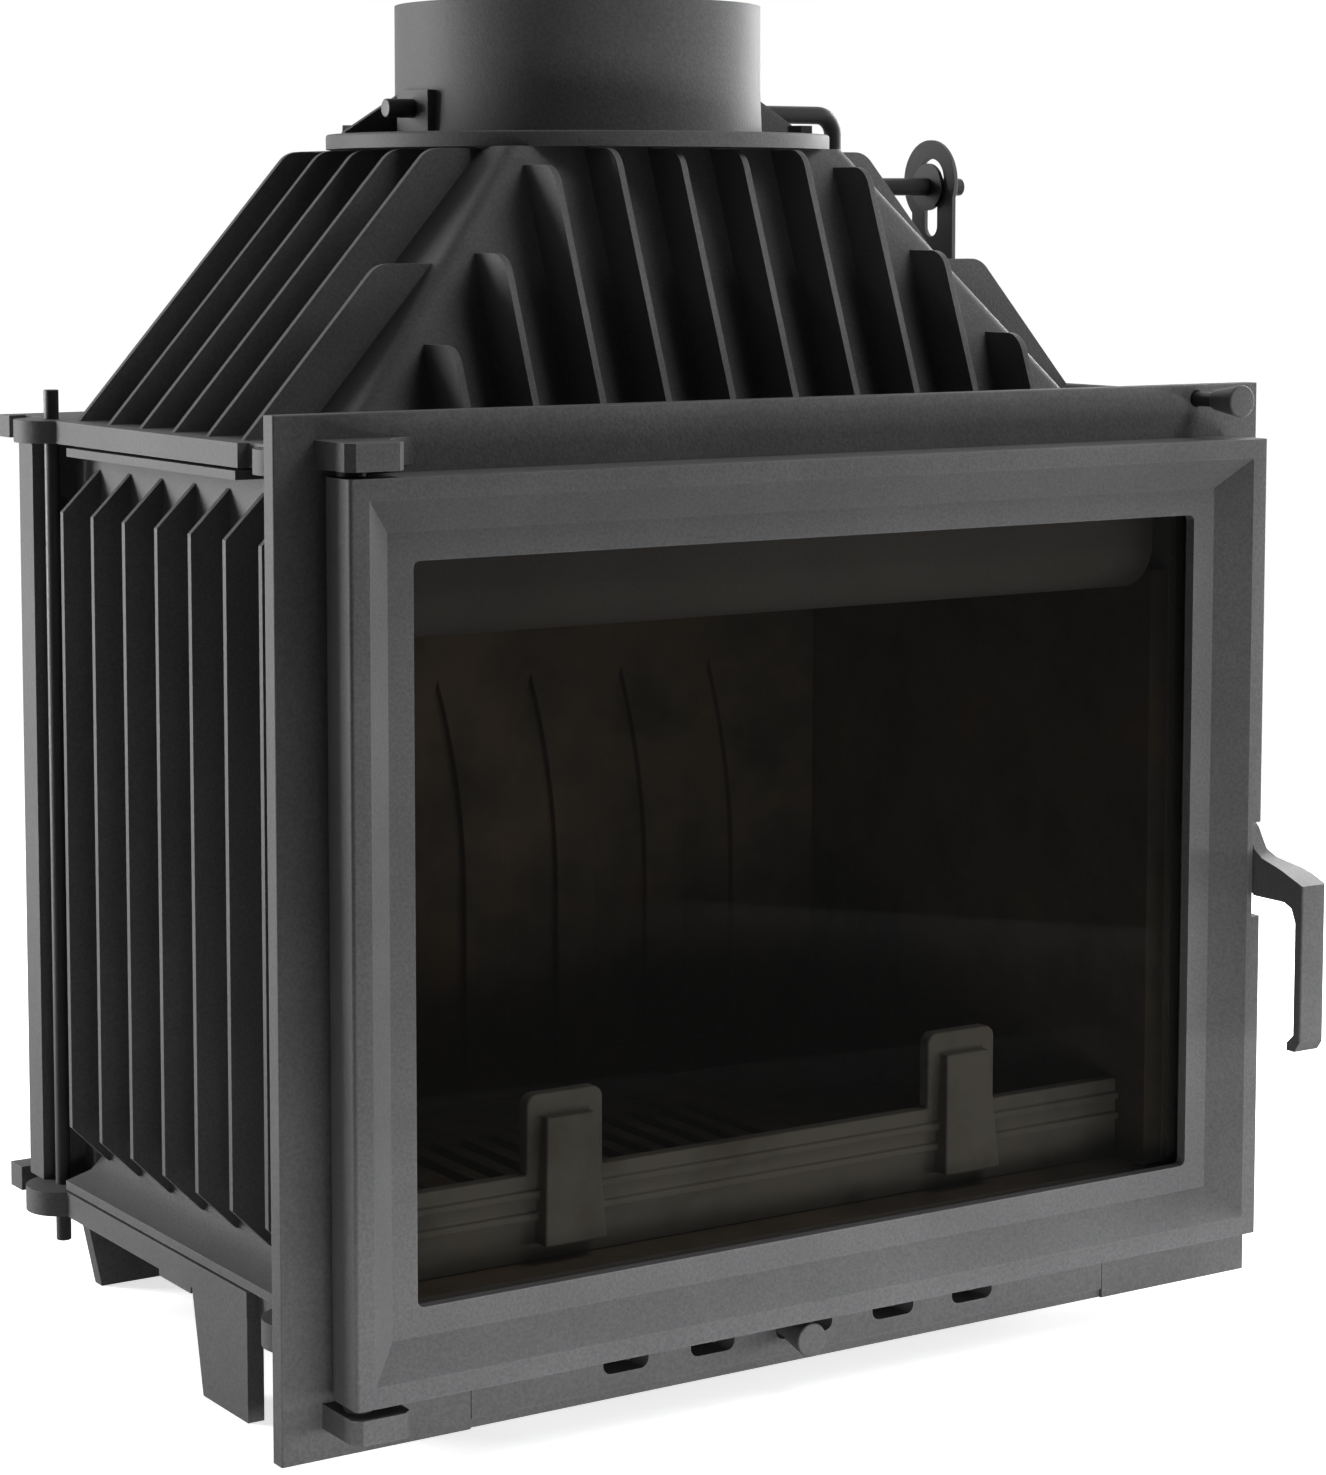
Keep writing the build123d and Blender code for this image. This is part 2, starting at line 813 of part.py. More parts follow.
def clip_places():
    """Clip places round the glass; own +Z to the back, own +Y towards the pane's middle."""
    away_x = glass_w / 2 + glass_play + clip_seat / 2
    away_z = glass_h / 2 + glass_play + clip_seat / 2
    places = []
    for side in (-1, 1):
        places.append(facing_back(side * away_x, glass_back, door_mid_z) * Rot(0, 0, 90 * side))
        for x in (-glass_w / 4, glass_w / 4):
            turn = 0 if side > 0 else 180
            places.append(facing_back(x, glass_back, door_mid_z + side * away_z) * Rot(0, 0, turn))
    return places


def make_door_frame():
    frame = wide_block(door_half_w, door_front, door_back, door_bottom, door_top)
    frame = rounded(frame, hinge_side_r, lambda e: straight(e, "Z")
                    and near(e.center().X, -door_half_w) and near(e.center().Y, door_back))
    frame = rounded(frame, door_edge_r, lambda e: straight(e, "Z")
                    and near(e.center().Y, door_front))
    wide = Rectangle(door_w - 2 * rim_w, door_h - 2 * rim_w)
    narrow = Rectangle(door_w - 2 * (rim_w + bevel_w), door_h - 2 * (rim_w + bevel_w))
    bevel = loft([wide, Pos(0, 0, -bevel_depth) * narrow])
    frame -= Pos(0, door_front, door_mid_z) * Rot(90, 0, 0) * bevel
    frame -= rounded_panel(pane_w, pane_h, pane_corner_r, band_front - 1, door_back + 1, door_mid_z)
    frame -= rounded_panel(glass_w + 2 * glass_play, glass_h + 2 * glass_play, pane_corner_r,
                           band_back, door_back + 1, door_mid_z)
    frame -= rope_ring(rope_groove_w, door_back - rope_groove_depth, door_back + 1)
    for place in clip_places():
        half = clip_w / 2 + loose
        frame -= place * block(-half, half, -clip_seat / 2 - loose, clip_seat / 2,
                               0, door_back - glass_back + 1)
        frame -= place * rod_z(0, 0, -clip_screw_bite, 1, clip_screw_d / 2)
    frame -= block(door_half_w - notch_depth, door_half_w + 1, door_front - 1, door_back + 1,
                   notch_bottom, notch_top)
    frame -= rod_x(door_half_w - notch_depth - handle_pin_bite, door_half_w, handle_y, handle_z,
                   handle_pin_d / 2 + running)
    hole = hinge_pin_reach + slip
    frame -= rod_z(hinge_x, hinge_y, door_bottom - 1, door_bottom + hole, hinge_pin_d / 2 + running)
    frame -= rod_z(hinge_x, hinge_y, door_top - hole, door_top + 1, hinge_pin_d / 2 + running)
    return frame


def make_door_rope():
    """The rope as it lies pressed in its groove, just short of the plate."""
    rope = rope_ring(rope_w, door_back - rope_groove_depth, -slip)
    return rounded(rope, rope_w / 5, lambda e: near(e.center().Y, -slip))


def make_door_glass():
    return rounded_panel(glass_w, glass_h, glass_corner_r, glass_front, glass_back, door_mid_z)


def make_glass_tape():
    """A flat tape between the band and the glass."""
    tape = rounded_panel(glass_w, glass_h, glass_corner_r, band_back, glass_front, door_mid_z)
    return tape - rounded_panel(pane_w + 1, pane_h + 1, pane_corner_r, band_back - 1,
                                glass_front + 1, door_mid_z)


def make_glass_clips():
    reach = clip_seat / 2 + glass_play + clip_lap
    clip = block(-clip_w / 2, clip_w / 2, -clip_seat / 2 + loose, reach, 0, clip_t)
    clip = rounded(clip, clip_corner_r, lambda e: straight(e, "Z"))
    clip -= rod_z(0, 0, -1, clip_t + 1, clip_screw_d / 2)
    return group(place * clip for place in clip_places())


def make_clip_screws():
    screw = pan_screw(clip_screw_d, clip_t + clip_screw_bite, clip_screw_head_d, clip_screw_head_h)
    return group(place * Pos(0, 0, clip_t) * screw for place in clip_places())


# Handle


def make_tongue():
    """A flat tongue from the handle's hub through the plate, rounded where it meets the pin."""
    tongue = block(tongue_x, tongue_x + tongue_w, handle_y, handle_y + tongue_reach,
                   handle_z - tongue_h / 2, handle_z + tongue_h / 2)
    tongue = rounded(tongue, tongue_tip_r, lambda e: straight(e, "X")
                     and near(e.center().Y, handle_y + tongue_reach))
    tongue += rod_x(tongue_x, tongue_x + tongue_w, handle_y, handle_z, tongue_h / 2)
    return tongue - rod_x(tongue_x - 1, tongue_x + tongue_w + 1, handle_y, handle_z,
                          handle_pin_d / 2)


def arm_line(shape):
    """Points of the arm's outline from distances in parts of the handle's reach."""
    return [(handle_y - forward * handle_reach, handle_z + up * handle_reach)
            for forward, up in shape]


def make_handle():
    """Hub, arm and hanging grip; the grip is wider than the hub, to the outside."""
    front = handle_y - handle_reach
    foot = handle_z - grip_drop
    grip = [(front, foot + grip_t), (front + grip_t * 0.7, foot), (front + grip_toe, foot),
            (front + grip_toe, foot + grip_t * 0.7), (front + grip_t, foot + grip_t * 1.4),
            (front + grip_t, handle_z - handle_reach * 0.754)]
    side = arm_line(arm_upper_line) + grip + arm_line(arm_lower_line)
    outer = hub_x + grip_w
    handle = prism_x(side, hub_x, outer)
    narrow_y, wide_y = [handle_y - part * handle_reach for part in arm_widening]
    plan = [(hub_x, handle_y + hub_r), (hub_x + hub_w, handle_y + hub_r),
            (hub_x + hub_w, narrow_y), (outer, wide_y), (outer, front - grip_t),
            (hub_x, front - grip_t)]
    handle &= prism_z(plan, foot - grip_t, handle_z + handle_reach)
    handle = rounded(handle, grip_edge_r, lambda e: straight(e, "Z")
                     and e.center().Y < front + grip_t * 1.2)
    handle += rod_x(hub_x, hub_x + hub_w, handle_y, handle_z, hub_r)
    handle -= rod_x(hub_x - 1, hub_x + hub_w + 1, handle_y, handle_z, handle_pin_d / 2)
    return handle - make_tongue()


def make_handle_pin():
    return rod_x(door_half_w - notch_depth - handle_pin_bite + 1, hub_x + hub_w, handle_y,
                 handle_z, handle_pin_d / 2)


# Base and its feet


def body_outline(z0, z1):
    """The outline that base and hood flange share, with an ear at each corner."""
    plate = wide_block(front_half_w, plate_t, tail_notch_front_y, z0, z1)
    plate += wide_block(body_half_w, step_front_y, step_back_y, z0, z1)
    plate += wide_block(tail_notch_half_w, tail_notch_front_y, tail_notch_y, z0, z1)
    plate += wide_block(body_half_w, tail_notch_y, tail_y, z0, z1)
    for x in (-ear_x, ear_x):
        for y in (ear_front_y, ear_back_y):
            plate += rod_z(x, y, z0, z1, ear_r)
    return plate


def tie_rod_places():
    return [(x, y) for x in (-ear_x, ear_x) for y in (ear_front_y, ear_back_y)]


def box_screw_places():
    return [facing_down(side * (box_half_w + box_flange_w / 2), y, base_bottom - box_t)
            for side in (-1, 1) for y in box_screw_y]


def front_foot():
    """A plate under the base's side, straight in front and tapering behind."""
    side = [(foot_front_y, 0), (foot_front_y, base_bottom), (foot_front_y + foot_top_len,
            base_bottom), (foot_front_y + foot_bottom_len, 0)]
    foot = prism_x(side, body_half_w - foot_t, body_half_w)
    inner = body_half_w - foot_t
    root = block(inner - foot_root_r, inner, foot_front_y, foot_front_y + foot_top_len,
                 base_bottom - foot_root_r, base_bottom)
    root -= rod_y(inner - foot_root_r, foot_front_y - 1, foot_front_y + foot_top_len + 1,
                  base_bottom - foot_root_r, foot_root_r)
    return foot + root


def back_foot():
    """A wide plate across the back of the base that narrows to the floor."""
    outer = back_foot_half_w
    across = [(outer - back_foot_w, 0), (outer, 0), (outer + back_foot_taper, base_bottom),
              (outer - back_foot_w, base_bottom)]
    return prism_y(across, back_foot_y, back_foot_y + back_foot_t)


def make_base():
    base = body_outline(base_bottom, base_top)
    base -= wide_block(ash_half_w, ash_front_y, ash_back_y, base_bottom - 1, base_top + 1)
    lug = block(body_half_w - foot_t, body_half_w, base_lug_y - base_lug_len / 2,
                base_lug_y + base_lug_len / 2, base_bottom - base_lug_drop, base_bottom)
    for piece in (front_foot(), back_foot(), lug):
        base += piece + mirrored(piece)
    for x, y in tie_rod_places():
        base -= rod_z(x, y, base_bottom - 1, base_top + 1, tie_rod_d / 2 + thread)
    for place in box_screw_places():
        base -= place * screw_hole(box_t)
    return base


def make_tie_rods():
    return group(rod_z(x, y, base_bottom - tie_rod_below, hood_flange_top + tie_rod_above,
                       tie_rod_d / 2) for x, y in tie_rod_places())


# Side castings


def make_side():
    """The right-hand side wall with its fins, upper lip, lower rail and bolting flanges."""
    side = block(wall_inner, wall_half_w, plate_t, back_y, base_top, hood_flange_bottom)
    flange_x = wall_half_w + bolt_flange_w
    side += block(wall_inner, flange_x, plate_t, plate_t + bolt_flange_t,
                  base_top, hood_flange_bottom)
    side += block(wall_inner, flange_x, back_y - bolt_flange_t, back_y,
                  base_top, hood_flange_bottom)
    lip = [(wall_half_w - 1, lip_z), (body_half_w, lip_z),
           (body_half_w, hood_flange_bottom - seam), (wall_half_w - 1, hood_flange_bottom - seam)]
    side += prism_y(lip, lip_front_y, lip_back_y)
    inset = (body_half_w - wall_half_w) / 3
    rail = [(wall_half_w - 1, base_top + seam), (body_half_w, base_top + seam),
            (body_half_w, rail_z), (wall_half_w + inset, rail_z + rail_rise / 3),
            (wall_half_w - 1, rail_z + rail_rise)]
    side += prism_y(rail, rail_front_y, rail_back_y)
    depth = body_half_w - wall_half_w
    fin = [(wall_half_w - 1, fin_foot_z - depth), (wall_half_w, fin_foot_z - depth),
           (body_half_w, fin_foot_z), (body_half_w, fin_head_z),
           (wall_half_w, fin_head_z + depth), (wall_half_w - 1, fin_head_z + depth)]
    for step in range(fin_count):
        y = first_fin_y + step * fin_pitch
        side += prism_y(fin, y - fin_t / 2, y + fin_t / 2)
    for z in plate_bolt_z:
        side -= rod_y(bolt_flange_x, plate_t - 1, plate_t + bolt_flange_t + 1, z, bolt_d / 2)
    for z in back_bolt_z:
        side -= rod_y(bolt_flange_x, back_y - bolt_flange_t - 1, back_y + 1, z, bolt_d / 2)
    return side


# Rear casting


def back_bolt_places():
    return [facing_back(side * bolt_flange_x, back_y + back_rim_depth, z)
            for side in (-1, 1) for z in back_bolt_z]


def make_rear():
    """A shallow tray that closes the body, with upright fins behind."""
    back = back_y + back_rim_depth
    rear = wide_block(body_half_w, back_y, back, base_top, hood_flange_bottom)
    rear -= wide_block(body_half_w - back_rim_w, back_y - 1, back - back_wall_t,
                       base_top + back_rim_w, hood_flange_bottom - back_rim_w)
    for step in range(-back_fin_pairs, back_fin_pairs + 1):
        x = step * fin_pitch
        rear += block(x - fin_t / 2, x + fin_t / 2, back, back + back_fin_reach,
                      base_top + back_fin_margin, hood_flange_bottom - back_fin_margin)
    for place in back_bolt_places():
        rear -= place * rod_z(0, 0, -back_rim_depth - 1, 1, bolt_d / 2)
    return rear


def make_back_bolts():
    return group(place * hex_bolt(back_rim_depth + bolt_flange_t) for place in back_bolt_places())


# Hood


def hood_half(z):
    """Half-width of the hood's outside at a height."""
    return hood_bottom_half - side_slope * (z - hood_flange_top)


def hood_front(z):
    """Depth of the hood's front outside at a height."""
    return hood_front_bottom_y + front_slope * (z - hood_flange_top)


def hood_section(z, wall):
    """The hood's rectangle at a height, inside a wall of the given thickness."""
    half = hood_half(z) - wall * math.hypot(1, side_slope)
    front = hood_front(z) + wall * math.hypot(1, front_slope)
    back = hood_back_y - wall
    return Pos(0, (front + back) / 2, z) * Rectangle(2 * half, back - front)


def hood_side_fin(y):
    """A fin on the right-hand slope; those near the front stop where the hip meets them."""
    hip_z = hood_flange_top + (y - hip_front_gap - hood_front_bottom_y) / front_slope
    top = min(hood_fin_top, hip_z)
    foot = hood_flange_top - 1
    outline = [(hood_half(foot) + side_fin_reach, foot), (hood_half(top) + side_fin_reach, top),
               (hood_half(top) - hood_wall_t / 2, top), (hood_half(foot) - hood_wall_t / 2, foot)]
    fin = prism_y(outline, y - fin_t / 2, y + fin_t / 2)
    corner = hood_half(top) + side_fin_reach
    return rounded(fin, fin_head_r, lambda e: straight(e, "Y") and near(e.center().X, corner))


def hood_front_fin(x):
    """A fin on the sloping front, stopping where the hip meets it."""
    hip_z = hood_flange_top + (hood_bottom_half - abs(x) - hip_side_gap) / side_slope
    top = min(hood_fin_top, hip_z)
    foot = hood_flange_top - 1
    outline = [(hood_front(foot) - front_fin_reach, foot), (hood_front(top) - front_fin_reach, top),
               (hood_front(top) + hood_wall_t / 2, top), (hood_front(foot) + hood_wall_t / 2, foot)]
    fin = prism_x(outline, x - fin_t / 2, x + fin_t / 2)
    corner = hood_front(top) - front_fin_reach
    return rounded(fin, fin_head_r, lambda e: straight(e, "X") and near(e.center().Y, corner))


def collar_bolt_places():
    places = []
    for angle in collar_bolt_angles:
        turn = math.radians(angle)
        places.append(Pos(collar_bolt_circle_r * math.cos(turn),
                          flue_y + collar_bolt_circle_r * math.sin(turn), collar_top))
    return places


def make_hood():
    shell = loft([hood_section(hood_flange_top - 1, 0), hood_section(hood_top, 0)], ruled=True)
    hood = rounded(shell, hood_corner_r,
                   lambda e: hood_flange_top < e.center().Z < hood_top - hood_corner_r)
    hood += body_outline(hood_flange_bottom, hood_flange_top)
    inside = [hood_section(hood_flange_bottom - 1, hood_wall_t),
              hood_section(hood_top - hood_wall_t, hood_wall_t)]
    hood -= loft(inside, ruled=True)
    boss_foot = -collar_t - collar_bolt_bite - collar_boss_end
    for place in collar_bolt_places():
        hood += place * rod_z(0, 0, boss_foot, -collar_t, collar_boss_r)
    hood -= rod_z(0, flue_y, hood_top - hood_wall_t - 1, hood_top + 1, hood_hole_r)
    for step in range(1, fin_count):
        fin = hood_side_fin(first_fin_y + step * fin_pitch)
        hood += fin + mirrored(fin)
    for step in range(front_fin_pairs):
        fin = hood_front_fin((step + 0.5) * fin_pitch)
        hood += fin + mirrored(fin)
    hood -= rod_y(pull_x, step_front_y, tail_y, pull_z, rod_notch_r)
    for place in collar_bolt_places():
        hood -= place * rod_z(0, 0, -collar_t - collar_bolt_bite, 0, bolt_d / 2)
    for x, y in tie_rod_places():
        hood -= rod_z(x, y, hood_flange_bottom - 1, hood_flange_top + 1, tie_rod_d / 2 + thread)
    hood -= guide_screw_place() * screw_hole(guide_foot_t)
    return hood


# Flue collar and damper


def gusset(side, way):
    """A triangle between the spigot and the flange, beside the axle's boss."""
    foot_x = math.sqrt(spigot_r ** 2 - gusset_offset ** 2)
    root = foot_x - gusset_root
    tip = foot_x + gusset_reach
    y = flue_y + way * gusset_offset
    outline = [(root, collar_top - 1), (tip, collar_top - 1), (tip, collar_top + 1),
               (foot_x, collar_top + gusset_h), (root, collar_top + gusset_h)]
    fin = prism_y(outline, y - gusset_t / 2, y + gusset_t / 2)
    return fin if side > 0 else mirrored(fin)


def make_collar():
    flange = rod_z(0, flue_y, hood_top, collar_top, collar_r)
    collar = rounded(flange, collar_edge_r, lambda e: near(e.center().Z, collar_top))
    foot = Cone(spigot_foot_r, spigot_r, spigot_foot_h,
                align=(Align.CENTER, Align.CENTER, Align.MIN))
    collar += Pos(0, flue_y, collar_top) * foot
    collar += rod_z(0, flue_y, collar_top, spigot_top, spigot_r)
    collar += block(-boss_face_x, boss_face_x, flue_y - boss_half_w, flue_y + boss_half_w,
                    collar_top - 1, collar_top + boss_h)
    for side, way in ((-1, 1), (1, -1), (1, 1)):
        collar += gusset(side, way)
    collar -= rod_z(0, flue_y, hood_top - 1, spigot_top + 1, spigot_bore_r)
    collar -= rod_x(axle_left_x, crank_x, flue_y, axle_z, axle_d / 2 + running)
    for place in collar_bolt_places():
        collar -= place * rod_z(0, 0, -collar_t - 1, 1, bolt_d / 2)
    return collar


def make_collar_bolts():
    return group(place * hex_bolt(collar_t + collar_bolt_bite) for place in collar_bolt_places())


def blade_place():
    """The blade's own frame: X along the axle and Z square to the blade, tipped as at rest."""
    return Pos(0, flue_y, axle_z) * Rot(-blade_rest_deg, 0, 0)


def make_blade():
    seat = axle_d / 2 - blade_seat
    blade = rod_z(0, 0, seat, seat + blade_t, blade_r)
    for x in (-blade_screw_x, blade_screw_x):
        blade -= rod_z(x, 0, seat - 1, seat + blade_t + 1, clip_screw_d / 2)
    return blade_place() * blade


def blade_screw_spots():
    top = axle_d / 2 - blade_seat + blade_t
    return [blade_place() * Pos(x, 0, top) for x in (-blade_screw_x, blade_screw_x)]


def make_blade_screws():
    screw = pan_screw(clip_screw_d, blade_t + blade_screw_bite, clip_screw_head_d, clip_screw_head_h)
    return group(place * screw for place in blade_screw_spots())


def make_damper_rod():
    """A round bar: axle through the collar, bent down outside it and out again as the crank pin."""
    path = FilletPolyline((axle_left_x, flue_y, axle_z), (crank_x, flue_y, axle_z),
                          (crank_x, flue_y, crank_z), (crank_end_x, flue_y, crank_z),
                          radius=crank_bend_r)
    start = Plane(origin=(axle_left_x, flue_y, axle_z), z_dir=(1, 0, 0))
    rod = sweep(start * Circle(axle_d / 2), path=path)
    rod = rounded(rod, rod_edge_r, lambda e: near(e.center().X, crank_end_x)
                  or near(e.center().X, axle_left_x))
    seat = axle_d / 2 - blade_seat
    rod -= blade_place() * rod_z(0, 0, seat, seat + blade_t, blade_r + 1)
    for place in blade_screw_spots():
        rod -= place * rod_z(0, 0, -blade_t - blade_screw_bite, 0, clip_screw_d / 2)
    return rod


def make_crank_washer():
    """A disc welded to the crank pin just inside the lever."""
    x1 = lever_x - crank_washer_gap
    x0 = x1 - crank_washer_t
    disc = rod_x(x0, x1, flue_y, crank_z, crank_washer_d / 2)
    return disc - rod_x(x0 - 1, x1 + 1, flue_y, crank_z, axle_d / 2)


# Lever, pull rod, knob and guide


def make_lever():
    """A flat lever with a slotted eye, cranked outwards at its foot to clear the fins."""
    head_z = crank_z + lever_head_rise
    foot = pull_z - lever_foot_under
    upper = [(lever_front_y, head_z), (lever_front_y, crank_z - lever_flare_drop),
             (lever_foot_front_y, lever_bend_z), (lever_back_y, lever_bend_z),
             (lever_back_y, head_z)]
    lever = prism_x(upper, lever_x, lever_x + lever_t)
    lever += rod_x(lever_x, lever_x + lever_t, flue_y + lever_head_back, head_z, lever_head_r)
    lower = [(lever_x, lever_bend_z), (lever_x + lever_t, lever_bend_z),
             (lever_foot_x + lever_t, lever_foot_z), (lever_foot_x + lever_t, foot),
             (lever_foot_x, foot), (lever_foot_x, lever_foot_z)]
    lever += prism_y(lower, lever_foot_front_y, lever_back_y)
    x0 = lever_x - 1
    x1 = lever_x + lever_t + 1
    lever -= rod_x(x0, x1, flue_y, lever_eye_z, lever_eye_r)
    slot_end = crank_z - lever_slot_drop + lever_slot_w / 2
    lever -= block(x0, x1, flue_y - lever_slot_w / 2, flue_y + lever_slot_w / 2,
                   slot_end, lever_eye_z)
    return lever - rod_x(x0, x1, flue_y, slot_end, lever_slot_w / 2)


def make_pull_rod():
    rod = rod_y(pull_x, -pull_stem, rod_end_y, pull_z, pull_d / 2)
    rod -= block(lever_foot_x, pull_x + pull_d, lever_foot_front_y, lever_back_y,
                 pull_z - pull_d, pull_z + pull_d)
    return rod


def make_damper_knob():
    return Pos(pull_x, -pull_stem, pull_z) * Rot(90, 0, 0) * cone_knob(knob_len)


def guide_screw_place():
    return Pos(pull_x - guide_wing, guide_y + guide_foot_len - guide_screw_edge,
               hood_flange_top + guide_foot_t)


def make_rod_guide():
    """An angle on the hood's flange that carries the tail of the pull rod."""
    left = pull_x - guide_wing - guide_wing_edge
    right = pull_x + guide_half_w
    top = pull_z + guide_half_w
    guide = block(left, right, guide_y, guide_y + guide_t, hood_flange_top, top)
    guide = rounded(guide, guide_corner_r, lambda e: straight(e, "Y") and near(e.center().Z, top))
    guide += block(left, pull_x - guide_half_w / 2, guide_y, guide_y + guide_foot_len,
                   hood_flange_top, hood_flange_top + guide_foot_t)
    guide -= rod_y(pull_x, guide_y - 1, guide_y + guide_t + 1, pull_z, pull_d / 2 + running)
    return guide - guide_screw_place() * screw_hole(guide_foot_t)


def make_guide_screw():
    return guide_screw_place() * small_screw(guide_foot_t + small_screw_bite)


# Air box and ash pan


def make_air_box():
    """A sheet box under the base, open towards the air panel and upwards."""
    box = wide_block(box_half_w, panel_back_y, box_back_y, box_bottom, base_bottom)
    box -= wide_block(box_half_w - box_t, panel_back_y - 1, box_back_y - box_t,
                      box_bottom + box_t, base_bottom + 1)
    for side in (-1, 1):
        x = side * (box_half_w + box_flange_w / 2)
        box += block(x - box_flange_w / 2, x + box_flange_w / 2, panel_back_y + box_flange_back,
                     box_back_y, base_bottom - box_t, base_bottom)
    for place in box_screw_places():
        box -= place * screw_hole(box_t)
    return box


def make_box_screws():
    return group(place * small_screw(box_t + small_screw_bite) for place in box_screw_places())


def make_ash_pan():
    """A tray that lifts out through the hearth when the grate is out."""
    half = ash_half_w - pan_gap
    floor = box_bottom + box_t
    pan = wide_block(half, ash_front_y + pan_gap, ash_back_y - pan_gap, floor, floor + pan_h)
    return pan - wide_block(half - pan_t, ash_front_y + pan_gap + pan_t,
                            ash_back_y - pan_gap - pan_t, floor + pan_t, floor + pan_h + 1)


# Lining


def make_hearth():
    hearth = wide_block(wall_inner, plate_t, back_y, base_top, hearth_top)
    gap = grate_lap + grate_gap
    return hearth - wide_block(ash_half_w + gap, ash_front_y - gap, ash_back_y + gap,
                               base_top - 1, hearth_top + 1)


def make_grate():
    """Bars over the ash opening, let into the hearth."""
    half = ash_half_w + grate_lap
    front = ash_front_y - grate_lap
    back = ash_back_y + grate_lap
    grate = wide_block(half, front, back, base_top, hearth_top)
    pitch = grate_bar + grate_slot
    count = int((2 * ash_half_w - 2 * grate_edge + grate_bar) // pitch)
    for step in range(count):
        x = (step - (count - 1) / 2) * pitch
        grate -= block(x - grate_slot / 2, x + grate_slot / 2, ash_front_y + grate_edge,
                       ash_back_y - grate_edge, base_top - 1, hearth_top + 1)
    return grate


def make_side_liner():
    return block(liner_inner, wall_inner, plate_t + loose, liner_face_y, hearth_top, liner_top)


def arch_panel(x):
    """A tall recess with a pointed head made of two arcs."""
    y0 = liner_face_y - 1
    rise = arch_apex_z - arch_spring_z
    radius = (arch_half_w ** 2 + rise ** 2) / (2 * arch_half_w)
    left = (x - arch_half_w, y0, arch_spring_z)
    right = (x + arch_half_w, y0, arch_spring_z)
    apex = (x, y0, arch_apex_z)
    half_turn = math.asin(rise / radius) / 2
    sag_x = radius * (1 - math.cos(half_turn))
    sag_z = radius * math.sin(half_turn)
    edge = Line((x - arch_half_w, y0, arch_foot_z), left)
    edge += ThreePointArc(left, (left[0] + sag_x, y0, arch_spring_z + sag_z), apex)
    edge += ThreePointArc(apex, (right[0] - sag_x, y0, arch_spring_z + sag_z), right)
    edge += Line(right, (x + arch_half_w, y0, arch_foot_z))
    edge += Line((x + arch_half_w, y0, arch_foot_z), (x - arch_half_w, y0, arch_foot_z))
    return extrude(make_face(edge), amount=arch_depth + 1, dir=(0, 1, 0))


def make_back_liner():
    liner = wide_block(wall_inner, liner_face_y, back_y, hearth_top, liner_top)
    for step in range(arch_count):
        liner -= arch_panel((step - (arch_count - 1) / 2) * arch_pitch)
    return liner


def make_baffle():
    """A plate on top of the liners that sends the smoke forwards."""
    return wide_block(wall_inner, baffle_front_y, back_y, liner_top, liner_top + baffle_t)


def make_deflector():
    """A hooked plate behind the top of the mouth, its lower edge curved back into the fire."""
    r = deflector_nose_r
    y0 = plate_t
    x0 = -(liner_inner - slip)
    bend_z = deflector_bottom + r
    outer_mid = (y0 + r * (1 - math.cos(math.pi / 4)), bend_z - r * math.sin(math.pi / 4))
    inner_r = r - deflector_t
    inner_mid = (y0 + r - inner_r * math.cos(math.pi / 4), bend_z - inner_r * math.sin(math.pi / 4))
    tail = y0 + r + deflector_tail
    edge = Line((x0, y0, deflector_top), (x0, y0, bend_z))
    edge += ThreePointArc((x0, y0, bend_z), (x0, *outer_mid), (x0, y0 + r, deflector_bottom))
    edge += Polyline((x0, y0 + r, deflector_bottom), (x0, tail, deflector_bottom),
                     (x0, tail, deflector_bottom + deflector_t),
                     (x0, y0 + r, deflector_bottom + deflector_t))
    edge += ThreePointArc((x0, y0 + r, deflector_bottom + deflector_t), (x0, *inner_mid),
                          (x0, y0 + deflector_t, bend_z))
    edge += Polyline((x0, y0 + deflector_t, bend_z), (x0, y0 + deflector_t, deflector_top),
                     (x0, y0, deflector_top))
    deflector = extrude(make_face(edge), amount=-2 * x0, dir=(1, 0, 0))
    for place in deflector_screw_places():
        deflector -= place * screw_hole(deflector_t)
    return deflector


def make_deflector_screws():
    return group(place * small_screw(deflector_t + small_screw_bite)
                 for place in deflector_screw_places())


def make_fence():
    """The wall that keeps logs off the glass."""
    half = liner_inner - slip
    back = fence_y + fence_t
    fence = wide_block(half, fence_y, back, hearth_top, fence_top)
    for drop in fence_rib_drops:
        rib = fence_top - drop
        fence += wide_block(half, fence_y - fence_rib_depth, fence_y, rib, rib + fence_rib_h)
    for x in (-stand_x, stand_x):
        stand = block(x - stand_w / 2, x + stand_w / 2, fence_y, back, hearth_top, stand_top)
        fence += rounded(stand, stand_corner_r, lambda e: straight(e, "Y")
                         and near(e.center().Z, stand_top))
        foot = Rectangle(buttress_foot_w, buttress_depth)
        head = Rectangle(buttress_top_w, buttress_depth * 0.6)
        top = stand_top - buttress_top_drop
        fence += loft([Pos(x, fence_y + 1 - buttress_depth / 2, hearth_top + buttress_foot_rise) * foot,
                       Pos(x, fence_y + 1 - buttress_depth * 0.3, top) * head], ruled=True)
        fence += block(x - fence_foot_w / 2, x + fence_foot_w / 2, back, back + fence_foot_len,
                       hearth_top, hearth_top + fence_t)
    return fence


right_side = make_side()
right_liner = make_side_liner()

